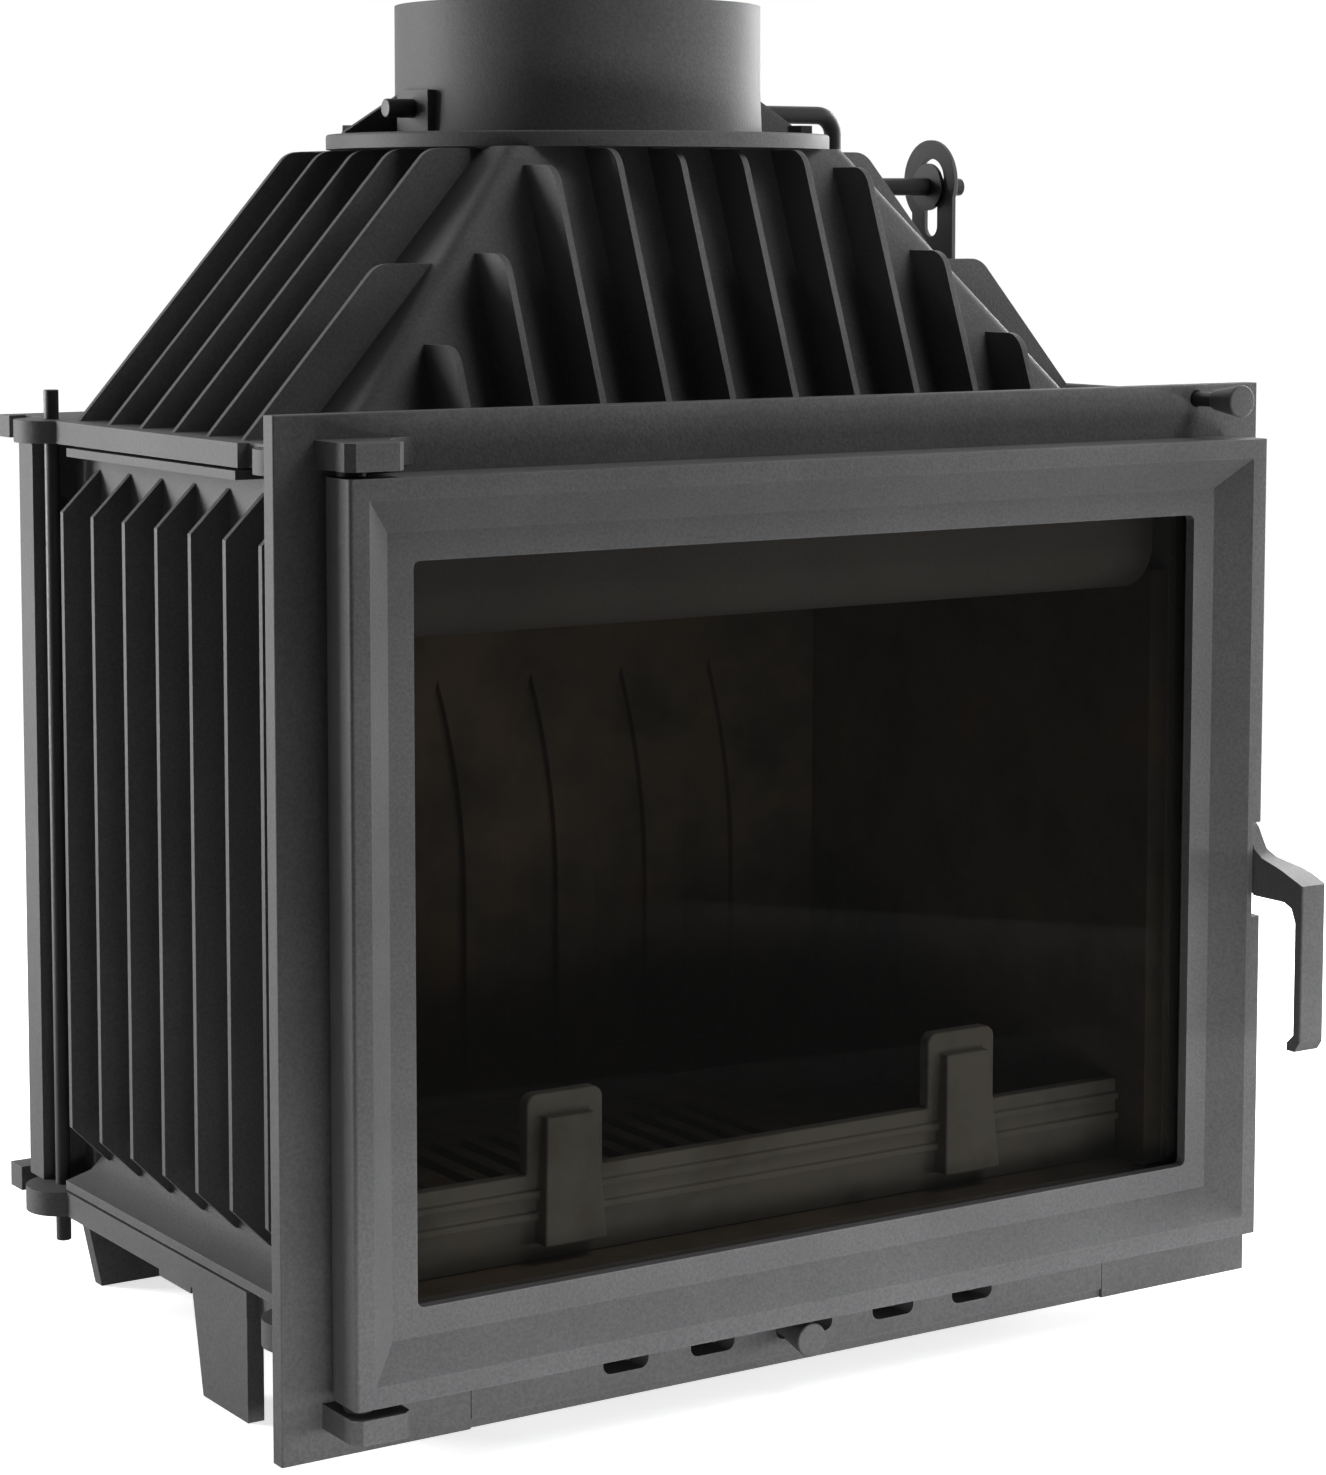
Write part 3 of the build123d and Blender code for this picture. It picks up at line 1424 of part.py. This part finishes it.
nodes = {
    "front_plate": make_front_plate(),
    "hinge_pins": make_hinge_pins(),
    "hinge_spacers": make_hinge_spacers(),
    "plate_bolts": make_plate_bolts(),
    "latch_keeper": make_latch_keeper(),
    "keeper_screws": make_keeper_screws(),
    "air_panel": make_air_panel(),
    "panel_screws": make_panel_screws(),
    "air_shutter": make_air_shutter(),
    "air_knob": make_air_knob(),
    "door_frame": make_door_frame(),
    "door_rope": make_door_rope(),
    "door_glass": make_door_glass(),
    "glass_tape": make_glass_tape(),
    "glass_clips": make_glass_clips(),
    "clip_screws": make_clip_screws(),
    "handle": make_handle(),
    "handle_pin": make_handle_pin(),
    "latch_tongue": make_tongue(),
    "base_casting": make_base(),
    "tie_rods": make_tie_rods(),
    "side_casting_left": mirrored(right_side),
    "side_casting_right": right_side,
    "rear_casting": make_rear(),
    "back_bolts": make_back_bolts(),
    "hood_casting": make_hood(),
    "flue_collar": make_collar(),
    "collar_bolts": make_collar_bolts(),
    "damper_blade": make_blade(),
    "blade_screws": make_blade_screws(),
    "damper_rod": make_damper_rod(),
    "crank_washer": make_crank_washer(),
    "damper_lever": make_lever(),
    "pull_rod": make_pull_rod(),
    "damper_knob": make_damper_knob(),
    "rod_guide": make_rod_guide(),
    "guide_screw": make_guide_screw(),
    "air_box": make_air_box(),
    "box_screws": make_box_screws(),
    "ash_pan": make_ash_pan(),
    "hearth_plate": make_hearth(),
    "grate": make_grate(),
    "side_liner_left": mirrored(right_liner),
    "side_liner_right": right_liner,
    "back_liner": make_back_liner(),
    "baffle_plate": make_baffle(),
    "air_deflector": make_deflector(),
    "deflector_screws": make_deflector_screws(),
    "log_fence": make_fence(),
}

for name, solid in nodes.items():
    export_step(Pos(0, frame_shift_y, 0) * solid, "parts/" + name + ".step")
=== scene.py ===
import bpy
import bmesh
import json
import math
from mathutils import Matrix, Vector


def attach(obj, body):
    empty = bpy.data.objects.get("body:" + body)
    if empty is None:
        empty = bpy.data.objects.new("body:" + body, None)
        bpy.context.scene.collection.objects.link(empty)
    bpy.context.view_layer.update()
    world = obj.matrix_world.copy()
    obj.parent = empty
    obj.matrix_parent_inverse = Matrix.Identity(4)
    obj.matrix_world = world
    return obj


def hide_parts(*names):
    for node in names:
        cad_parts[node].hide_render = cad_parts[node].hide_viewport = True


# Cast iron fireplace insert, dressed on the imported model. Metres, +Z up, the door faces -Y.

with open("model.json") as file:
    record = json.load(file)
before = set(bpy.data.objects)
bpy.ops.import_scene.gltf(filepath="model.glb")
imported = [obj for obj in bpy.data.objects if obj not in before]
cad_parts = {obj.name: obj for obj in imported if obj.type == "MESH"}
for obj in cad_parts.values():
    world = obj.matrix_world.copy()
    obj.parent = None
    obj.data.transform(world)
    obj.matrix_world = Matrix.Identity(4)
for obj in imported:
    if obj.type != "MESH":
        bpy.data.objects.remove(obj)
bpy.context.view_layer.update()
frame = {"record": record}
scene = bpy.context.scene
MM = 0.001

slot_of = {part["node"]: part["material_slot"] for part in frame["record"]["subparts"]}
body_of = {}
for body, names in frame["record"]["behaviour"]["bodies"].items():
    for name in names:
        body_of[name] = body


def linear(hex_colour):
    """An sRGB hex colour as the linear RGBA that a shader socket takes."""
    channels = []
    for start in (1, 3, 5):
        value = int(hex_colour[start:start + 2], 16) / 255
        if value <= 0.04045:
            channels.append(value / 12.92)
        else:
            channels.append(((value + 0.055) / 1.055) ** 2.4)
    return (*channels, 1.0)


def add(tree, kind, inputs=None, **settings):
    """Adds a node with its settings; an input is a value or another node's output."""
    made = tree.nodes.new("ShaderNode" + kind)
    for key, value in settings.items():
        setattr(made, key, value)
    for key, value in (inputs or {}).items():
        if isinstance(value, bpy.types.NodeSocket):
            tree.links.new(value, made.inputs[key])
        else:
            made.inputs[key].default_value = value
    return made


def new_material(name):
    """An empty material, its node tree and the place on the piece that its patterns follow."""
    material = bpy.data.materials.new(name)
    material.use_nodes = True
    tree = material.node_tree
    tree.nodes.clear()
    return material, tree, add(tree, "TexCoord").outputs["Object"]


def tones(tree, pattern, first, start, second, end):
    """A colour that turns from the first to the second as the pattern rises from start to end."""
    turned = add(tree, "MapRange", {"Value": pattern, "From Min": start, "From Max": end})
    return add(tree, "Mix", {"Factor": turned.outputs["Result"], "A": first, "B": second},
               data_type="RGBA").outputs["Result"]


def rubbed(tree, width, sharp, most):
    """How bright an edge is rubbed: 0 on a flat, most where the surface turns sharply within
    the width. The turn is measured as the cosine between the flat and the rounded normal."""
    almost_flat = 0.99
    flat = add(tree, "NewGeometry").outputs["Normal"]
    rounded = add(tree, "Bevel", {"Radius": width}, samples=4).outputs["Normal"]
    turn = add(tree, "VectorMath", {0: flat, 1: rounded}, operation="DOT_PRODUCT")
    return add(tree, "MapRange", {"Value": turn.outputs["Value"], "From Min": almost_flat,
                                  "From Max": sharp, "To Max": most}).outputs["Result"]


# Materials


def matt_paint(name, base, thick, worn, roughness, grain_size):
    """Matt heat-resistant paint, sprayed thinly enough that the iron or sheet under it gives the
    surface its grain. The eye sees an even dark grey with small specks, faint clouds where the
    paint lies thicker, the slow unevenness of what is under it, and a lighter line where edges
    are rubbed."""
    material, tree, place = new_material(name)
    clouds = add(tree, "TexNoise", {"Vector": place, "Scale": 1 / (70 * MM), "Detail": 4.0,
                                    "Roughness": 0.55}).outputs["Fac"]
    # The real grain, of sand or of sprayed paint, is 0.4 mm at most; grain_size is coarser, so
    # that it shows in the picture.
    grain = add(tree, "TexNoise", {"Vector": place, "Scale": 1 / grain_size, "Detail": 3.0,
                                   "Roughness": 0.6}).outputs["Fac"]
    swell = add(tree, "TexNoise", {"Vector": place, "Scale": 1 / (9 * MM),
                                   "Detail": 2.0}).outputs["Fac"]

    paint = tones(tree, clouds, linear(thick), 0.32, linear(base), 0.68)
    speck = add(tree, "MapRange", {"Value": grain, "From Min": 0.35, "From Max": 0.65,
                                   "To Min": 0.85, "To Max": 1.15}).outputs["Result"]
    specked = add(tree, "VectorMath", {0: paint, 1: speck}, operation="MULTIPLY").outputs["Vector"]
    edge = rubbed(tree, width=1.1 * MM, sharp=0.86, most=0.6)
    patchy = add(tree, "Math", {0: edge, 1: clouds}, operation="MULTIPLY").outputs["Value"]
    colour = add(tree, "Mix", {"Factor": patchy, "A": specked, "B": linear(worn)},
                 data_type="RGBA").outputs["Result"]

    uneven = add(tree, "Bump", {"Height": swell, "Strength": 0.25, "Distance": 0.35 * MM})
    grainy = add(tree, "Bump", {"Height": grain, "Strength": 0.65, "Distance": 0.25 * MM,
                                "Normal": uneven.outputs["Normal"]})
    rough = add(tree, "MapRange", {"Value": grain, "To Min": roughness - 0.08,
                                   "To Max": roughness + 0.08})
    shader = add(tree, "BsdfPrincipled", {"Base Color": colour,
                                          "Roughness": rough.outputs["Result"],
                                          "Specular IOR Level": 0.3, "IOR": 1.5,
                                          "Normal": grainy.outputs["Normal"]})
    add(tree, "OutputMaterial", {"Surface": shader.outputs["BSDF"]})
    return material


def heated_iron_painted_glow(name, base, brown, dull):
    """Unpainted cast iron under the scale that heat has raised, its warm colours partly that scale
    and partly a painted glow of firelight.
    The eye sees a dry grey in patches, browner and smoother in some, darker and duller in others."""
    material, tree, place = new_material(name)
    patches = add(tree, "TexNoise", {"Vector": place, "Scale": 1 / (55 * MM), "Detail": 5.0,
                                     "Roughness": 0.6}).outputs["Fac"]
    # Flakes of scale are about 0.5 mm; they are drawn at 1.8 mm, so that they show.
    flakes = add(tree, "TexNoise", {"Vector": place, "Scale": 1 / (1.8 * MM), "Detail": 3.0,
                                    "Roughness": 0.65}).outputs["Fac"]

    grey = tones(tree, patches, linear(dull), 0.3, linear(base), 0.52)
    # The browner patches are partly heat scale and partly a painted glow of firelight.
    colour = tones(tree, patches, grey, 0.52, linear(brown), 0.75)
    flaky = add(tree, "Bump", {"Height": flakes, "Strength": 0.3, "Distance": 0.2 * MM})
    rough = add(tree, "MapRange", {"Value": patches, "To Min": 0.9, "To Max": 0.62})
    shader = add(tree, "BsdfPrincipled", {"Base Color": colour,
                                          "Roughness": rough.outputs["Result"],
                                          "Specular IOR Level": 0.3,
                                          "Normal": flaky.outputs["Normal"]})
    add(tree, "OutputMaterial", {"Surface": shader.outputs["BSDF"]})
    return material


def black_oxide_steel(name, base, bright):
    """Turned or drawn steel with a black oxide skin. The eye sees a half-metallic dark grey with
    a soft gloss that varies a little, and bright steel where edges are rubbed."""
    material, tree, place = new_material(name)
    skin = add(tree, "TexNoise", {"Vector": place, "Scale": 1 / (6 * MM),
                                  "Detail": 4.0}).outputs["Fac"]
    edge = rubbed(tree, width=0.7 * MM, sharp=0.85, most=0.8)
    colour = add(tree, "Mix", {"Factor": edge, "A": linear(base), "B": linear(bright)},
                 data_type="RGBA").outputs["Result"]
    uneven = add(tree, "Bump", {"Height": skin, "Strength": 0.2, "Distance": 0.1 * MM})
    rough = add(tree, "MapRange", {"Value": skin, "To Min": 0.35, "To Max": 0.55})
    shader = add(tree, "BsdfPrincipled", {"Base Color": colour, "Metallic": 0.5,
                                          "Roughness": rough.outputs["Result"],
                                          "Normal": uneven.outputs["Normal"]})
    add(tree, "OutputMaterial", {"Surface": shader.outputs["BSDF"]})
    return material


def ceramic_glass(name):
    """Clear glass-ceramic, rolled flat and smooth. The eye sees straight through it, with a
    sharp gloss and the very faint amber that it has in the mass, uneven over a hand's width."""
    material, tree, place = new_material(name)
    melt = add(tree, "TexNoise", {"Vector": place, "Scale": 1 / (90 * MM),
                                  "Detail": 3.0}).outputs["Fac"]
    tint = tones(tree, melt, linear("#f2efe9"), 0.3, linear("#f7f6f2"), 0.7)
    shader = add(tree, "BsdfPrincipled", {"Base Color": tint, "IOR": 1.54, "Roughness": 0.0,
                                          "Transmission Weight": 1.0})
    # A clear pane lets the lamps' light through to the chamber, a little dimmed by its tint.
    clear = add(tree, "BsdfTransparent", {"Color": linear("#dedbd6")})
    shadow = add(tree, "LightPath").outputs["Is Shadow Ray"]
    pane = add(tree, "MixShader", {0: shadow, 1: shader.outputs["BSDF"],
                                   2: clear.outputs["BSDF"]})
    add(tree, "OutputMaterial", {"Surface": pane.outputs["Shader"]})
    return material


def glass_yarn(name, base, dark):
    """Woven glass fibre dressed with graphite. The eye sees dull near-black yarn with a little
    sheen, broken by paler fibres."""
    material, tree, place = new_material(name)
    # A single filament is far too fine to show; the pattern is drawn at a yarn's 0.9 mm.
    fibres = add(tree, "TexNoise", {"Vector": place, "Scale": 1 / (0.9 * MM),
                                    "Detail": 2.0}).outputs["Fac"]
    colour = tones(tree, fibres, linear(dark), 0.35, linear(base), 0.65)
    fuzzy = add(tree, "Bump", {"Height": fibres, "Strength": 0.4, "Distance": 0.2 * MM})
    shader = add(tree, "BsdfPrincipled", {"Base Color": colour, "Roughness": 0.85,
                                          "Sheen Weight": 0.2, "Normal": fuzzy.outputs["Normal"]})
    add(tree, "OutputMaterial", {"Surface": shader.outputs["BSDF"]})
    return material


finishes = {
    "castings": matt_paint("sand_cast_iron_matt_paint", base="#565657", thick="#4f4f50",
                           worn="#767678", roughness=0.6, grain_size=1.6 * MM),
    # The firebox iron's warm colours are partly heat scale and partly a painted glow of firelight.
    "fire_side": heated_iron_painted_glow("fired_cast_iron_painted_glow", base="#46413b", brown="#564838", dull="#312d29"),
    "controls": matt_paint("satin_painted_iron", base="#555556", thick="#4e4e4f",
                           worn="#7b7b7b", roughness=0.45, grain_size=1.2 * MM),
    "steel_fittings": black_oxide_steel("black_oxide_steel", base="#404042", bright="#7a7a7c"),
    "steel_sheet": matt_paint("painted_steel_sheet", base="#4e4e4f", thick="#484849",
                              worn="#6c6c6e", roughness=0.55, grain_size=0.9 * MM),
    "glass": ceramic_glass("glass_ceramic"),
    "rope": glass_yarn("graphited_glass_yarn", base="#3b3b3a", dark="#1b1b1b"),
}

# The fence stands just behind the glass, its front turned away from the firelight, so its copy of
# the iron is grey, with hardly any of the painted warm glow.
own_finish = {"log_fence": heated_iron_painted_glow("grey_cast_iron_without_glow", base="#535352", brown="#55524e",
                                       dull="#413f3d")}


def finish_of(name):
    """The material of a node: its own where it has one, or else its slot's."""
    return own_finish.get(name, finishes[slot_of[name]])


for name in slot_of:
    for slot in bpy.data.objects[name].material_slots:
        slot.material = finish_of(name)


def stand_in(name, piece):
    """Puts the piece in the scene in the place of the node, and on its body."""
    scene.collection.objects.link(piece)
    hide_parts(name)
    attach(piece, body_of[name])


# Softened edges


def softened(name, width, segments=2):
    """The node's shape with the soft edges that its making gives it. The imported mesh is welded
    and its flat faces joined first, so that the bevel meets real edges only."""
    weld_within = 0.002 * MM
    flat_within = math.radians(0.4)
    edge_from = math.radians(30)
    mesh = bpy.data.objects[name].data.copy()
    form = bmesh.new()
    form.from_mesh(mesh)
    bmesh.ops.remove_doubles(form, verts=form.verts, dist=weld_within)
    bmesh.ops.dissolve_limit(form, angle_limit=flat_within, verts=form.verts, edges=form.edges)
    for face in form.faces:
        face.smooth = True
    form.to_mesh(mesh)
    form.free()
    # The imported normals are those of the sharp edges.
    if mesh.attributes.get("custom_normal"):
        mesh.attributes.remove(mesh.attributes["custom_normal"])
    mesh.materials.clear()
    mesh.materials.append(finish_of(name))

    piece = bpy.data.objects.new(name + "_cast", mesh)
    bevel = piece.modifiers.new("soft_edges", "BEVEL")
    bevel.width = width
    bevel.segments = segments
    bevel.limit_method = "ANGLE"
    bevel.angle_limit = edge_from
    bevel.harden_normals = True
    bevel.use_clamp_overlap = True
    stand_in(name, piece)


# Castings have the rounded edges of their sand mould. All widths are in mm.
casting_edges = {
    "front_plate": 0.8, "door_frame": 0.8, "side_casting_left": 0.8, "side_casting_right": 0.8,
    "hood_casting": 0.8, "flue_collar": 0.8, "base_casting": 1.0, "rear_casting": 0.8,
    "air_panel": 0.7, "grate": 0.8, "hearth_plate": 0.8, "side_liner_left": 0.8,
    "side_liner_right": 0.8, "back_liner": 0.8,
}
for name, width in casting_edges.items():
    softened(name, width * MM)

# What a hand takes hold of, and the fence, are ground rounder.
rounder_edges = {"handle": 1.4, "log_fence": 1.6, "air_knob": 0.9, "damper_knob": 0.9}
for name, width in rounder_edges.items():
    softened(name, width * MM, segments=3)

# Sheet has a sheared edge, and turned steel a small chamfer.
steel_edges = {
    "latch_keeper": 0.3, "rod_guide": 0.3, "air_box": 0.3, "ash_pan": 0.25, "glass_clips": 0.25,
    "air_shutter": 0.3, "baffle_plate": 0.5, "air_deflector": 0.3, "damper_lever": 0.5,
    "damper_blade": 0.4, "latch_tongue": 0.4, "hinge_pins": 0.5, "hinge_spacers": 0.4,
    "tie_rods": 0.5, "pull_rod": 0.5, "damper_rod": 0.4, "crank_washer": 0.3, "handle_pin": 0.3,
    "plate_bolts": 0.4, "panel_screws": 0.3, "back_bolts": 0.4, "collar_bolts": 0.4,
    "box_screws": 0.3, "deflector_screws": 0.3, "clip_screws": 0.3, "keeper_screws": 0.3,
    "guide_screw": 0.3, "blade_screws": 0.3,
}
for name, width in steel_edges.items():
    softened(name, width * MM)


# Door rope

ROPE_WIDTH = 9.0 * MM
ROPE_CORNER = 13.0 * MM  # its bend's radius at the middle of the rope
BRAID_PITCH = 9.0 * MM  # the length after which the braid repeats
BRAID_DEPTH = 0.8 * MM


def rope_box():
    """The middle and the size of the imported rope, which lies in its groove round the door."""
    points = [point.co for point in bpy.data.objects["door_rope"].data.vertices]
    low = Vector([min(point[axis] for point in points) for axis in range(3)])
    high = Vector([max(point[axis] for point in points) for axis in range(3)])
    return (low + high) / 2, high - low


def rope_line(width, height, step):
    """Points along a rounded rectangle round the origin, each with the way outward from it."""
    line = []
    turn_steps = 14
    for quarter, (side_x, side_z) in enumerate(((1, 1), (-1, 1), (-1, -1), (1, -1))):
        centre = Vector((side_x * (width / 2 - ROPE_CORNER), 0,
                         side_z * (height / 2 - ROPE_CORNER)))
        for count in range(turn_steps + 1):
            angle = math.radians(90 * (quarter + count / turn_steps))
            out = Vector((math.cos(angle), 0, math.sin(angle)))
            line.append((centre + ROPE_CORNER * out, out))
        end, out = line[-1]
        run = (width if quarter % 2 == 0 else height) - 2 * ROPE_CORNER
        along = Vector((-out.z, 0, out.x))
        pieces = round(run / step)
        line += [(end + along * run * count / pieces, out) for count in range(1, pieces)]
    return line


def braided_rope():
    """The rope pressed in its groove: eight plaits round it, laid over and under each other."""
    around = 32
    along_step = 1.1 * MM
    plaits_each_way = 4
    middle, size = rope_box()
    line = rope_line(size.x - ROPE_WIDTH, size.z - ROPE_WIDTH, along_step)
    length = sum((line[count][0] - line[count - 1][0]).length for count in range(len(line)))
    lays = round(length / BRAID_PITCH)
    verts = []
    gone = 0.0
    for count, (place, out) in enumerate(line):
        if count:
            gone += (place - line[count - 1][0]).length
        lay = math.pi * lays * gone / length
        for step in range(around):
            angle = 2 * math.pi * step / around
            left = math.sin(plaits_each_way * angle + lay)
            right = math.sin(plaits_each_way * angle - lay)
            hollow = BRAID_DEPTH * (1 - abs(left * right) ** 0.5)
            # A pressed rope is nearly square: the section is a rounded square.
            cosine = math.cos(angle)
            sine = math.sin(angle)
            reach = (abs(cosine) ** 3 + abs(sine) ** 3) ** (-1 / 3)
            across = (ROPE_WIDTH / 2 * reach - hollow) * cosine
            deep = (size.y / 2 * reach - hollow) * sine
            verts.append(middle + place + out * across + Vector((0, deep, 0)))
    faces = []
    for count in range(len(line)):
        here = count * around
        there = (count + 1) % len(line) * around
        for step in range(around):
            after = (step + 1) % around
            faces.append((here + step, here + after, there + after, there + step))
    mesh = bpy.data.meshes.new("door_rope_braided")
    mesh.from_pydata(verts, [], faces)
    for face in mesh.polygons:
        face.use_smooth = True
    mesh.materials.append(finish_of("door_rope"))
    stand_in("door_rope", bpy.data.objects.new("door_rope_braided", mesh))


braided_rope()


# Floor and backdrop

# A dark room's light, as part of full white.
ROOM_LIGHT = 0.04


def backdrop_glow(tree, depth, near, far):
    """The strength of a white background: 1 to the camera, and through glass. A gloss shows it
    too, white behind the object and dark before it, as a room is. Light that has been scattered
    gets none, so that the background doesn't light the object."""
    ray = add(tree, "LightPath").outputs
    behind = add(tree, "MapRange", {"Value": depth, "From Min": near, "From Max": far,
                                    "To Min": ROOM_LIGHT}).outputs["Result"]
    straight = add(tree, "Math", {0: ray["Is Camera Ray"], 1: ray["Is Transmission Ray"]},
                   operation="MAXIMUM").outputs["Value"]
    seen = add(tree, "Math", {0: straight, 1: ray["Is Glossy Ray"]},
               operation="MAXIMUM").outputs["Value"]
    mirrored = add(tree, "Math", {0: ray["Glossy Depth"], 1: 0.5},
                   operation="GREATER_THAN").outputs["Value"]
    unscattered = add(tree, "Math", {0: ray["Diffuse Depth"], 1: 0.5},
                      operation="LESS_THAN").outputs["Value"]
    white = add(tree, "Mix", {"Factor": mirrored, "A": straight, "B": behind},
                data_type="FLOAT").outputs["Result"]
    shown = add(tree, "Math", {0: seen, 1: white}, operation="MULTIPLY").outputs["Value"]
    return add(tree, "Math", {0: shown, 1: unscattered}, operation="MULTIPLY").outputs["Value"]


def floor():
    """A plain pale floor that keeps the object's shadow and fades to the white backdrop. To a
    gloss it is nearly black, so that the glass and the paint don't mirror a lit floor."""
    reach = 12.0
    mesh = bpy.data.meshes.new("floor")
    mesh.from_pydata([(-reach, -reach, 0), (reach, -reach, 0), (reach, reach, 0),
                      (-reach, reach, 0)], [], [(0, 1, 2, 3)])
    piece = bpy.data.objects.new("floor", mesh)
    scene.collection.objects.link(piece)
    material, tree, place = new_material("pale_floor")
    away = add(tree, "VectorMath", {0: place}, operation="LENGTH").outputs["Value"]
    fade = add(tree, "MapRange", {"Value": away, "From Min": 0.5, "From Max": 1.6,
                                  "To Min": 0.72}).outputs["Result"]
    depth = add(tree, "SeparateXYZ", {"Vector": place}).outputs["Y"]
    backdrop = backdrop_glow(tree, depth, near=-0.2, far=0.8)
    glow = add(tree, "Math", {0: backdrop, 1: fade}, operation="MULTIPLY").outputs["Value"]
    glossy = add(tree, "LightPath").outputs["Is Glossy Ray"]
    pale = add(tree, "Mix", {"Factor": glossy, "A": linear("#f4f4f4"), "B": linear("#0d0d0d")},
               data_type="RGBA").outputs["Result"]
    shader = add(tree, "BsdfPrincipled", {"Base Color": pale, "Roughness": 0.9,
                                          "Specular IOR Level": 0.1,
                                          "Emission Color": linear("#ffffff"),
                                          "Emission Strength": glow})
    add(tree, "OutputMaterial", {"Surface": shader.outputs["BSDF"]})
    mesh.materials.append(material)


def studio_world():
    """A white backdrop all round, and a dim even light in the room."""
    world = bpy.data.worlds.new("studio")
    scene.world = world
    world.use_nodes = True
    tree = world.node_tree
    tree.nodes.clear()
    way = add(tree, "TexCoord").outputs["Generated"]
    depth = add(tree, "SeparateXYZ", {"Vector": way}).outputs["Y"]
    backdrop = backdrop_glow(tree, depth, near=-0.3, far=0.4)
    strength = add(tree, "Math", {0: backdrop, 1: ROOM_LIGHT},
                   operation="MAXIMUM").outputs["Value"]
    back = add(tree, "Background", {"Color": linear("#ffffff"), "Strength": strength})
    add(tree, "OutputWorld", {"Surface": back.outputs["Background"]})


floor()
studio_world()


# Lamps


def softbox(name, place, target, size, watts, spread=180, mirrored=True):
    """A soft lamp that the camera doesn't see. A small spread is a grid on its front, and one
    that isn't mirrored is seen in no gloss."""
    data = bpy.data.lights.new(name, "AREA")
    data.shape = "RECTANGLE"
    data.size, data.size_y = size
    data.energy = watts
    data.spread = math.radians(spread)
    piece = bpy.data.objects.new(name, data)
    piece.location = place
    piece.rotation_euler = (Vector(target) - Vector(place)).to_track_quat("-Z", "Y").to_euler()
    piece.visible_camera = False
    piece.visible_glossy = mirrored
    piece.visible_transmission = False
    scene.collection.objects.link(piece)


# Three tall boxes give the sides, the fins and the door's frame their light and their gloss.
# Places and sizes are in metres.
softbox("left_softbox", (-1.35, 1.25, 0.5), (-0.15, 0.0, 0.35), size=(0.5, 1.4), watts=41)
softbox("right_back_softbox", (1.3, 0.45, 0.65), (0.15, 0.05, 0.6), size=(0.5, 1.2), watts=20)
softbox("right_softbox", (1.6, -0.32, 0.65), (0.2, -0.1, 0.4), size=(0.5, 1.5), watts=15)
# Low strips light what faces down, and the front under the door.
softbox("low_right", (0.95, -0.95, 0.08), (0.0, -0.16, 0.25), size=(0.9, 0.12), watts=7.5,
        mirrored=False)
softbox("low_middle", (0.15, -0.8, 0.04), (0.05, -0.16, 0.2), size=(1.0, 0.07), watts=2,
        mirrored=False)
softbox("low_strip", (-0.05, -0.42, 0.03), (-0.02, -0.16, 0.06), size=(0.9, 0.05), watts=0.6,
        spread=120, mirrored=False)
# A weak fill from above, for the hood and the top of the door.
softbox("top_fill", (0.7, -0.8, 1.6), (0.0, 0.0, 0.5), size=(0.8, 0.8), watts=4.2,
        spread=90, mirrored=False)


def camera():
    """The photograph's view, solved from the object's square edges: from the left, at the height
    of the hood. The camera looks a little down, so that the shift stays small and the object
    stays in the frame from other sides."""
    place = (-1.0388, -1.6174, 0.5913)
    looking = Vector((0.5364, 0.83844, -0.0964))
    data = bpy.data.cameras.new("camera")
    data.sensor_width = 36.0
    data.lens = 88.15
    data.shift_x = 0.0196
    data.shift_y = -0.12
    piece = bpy.data.objects.new("camera", data)
    piece.location = place
    piece.rotation_euler = looking.to_track_quat("-Z", "Y").to_euler()
    scene.collection.objects.link(piece)
    scene.camera = piece


camera()

scene.view_settings.view_transform = "Standard"
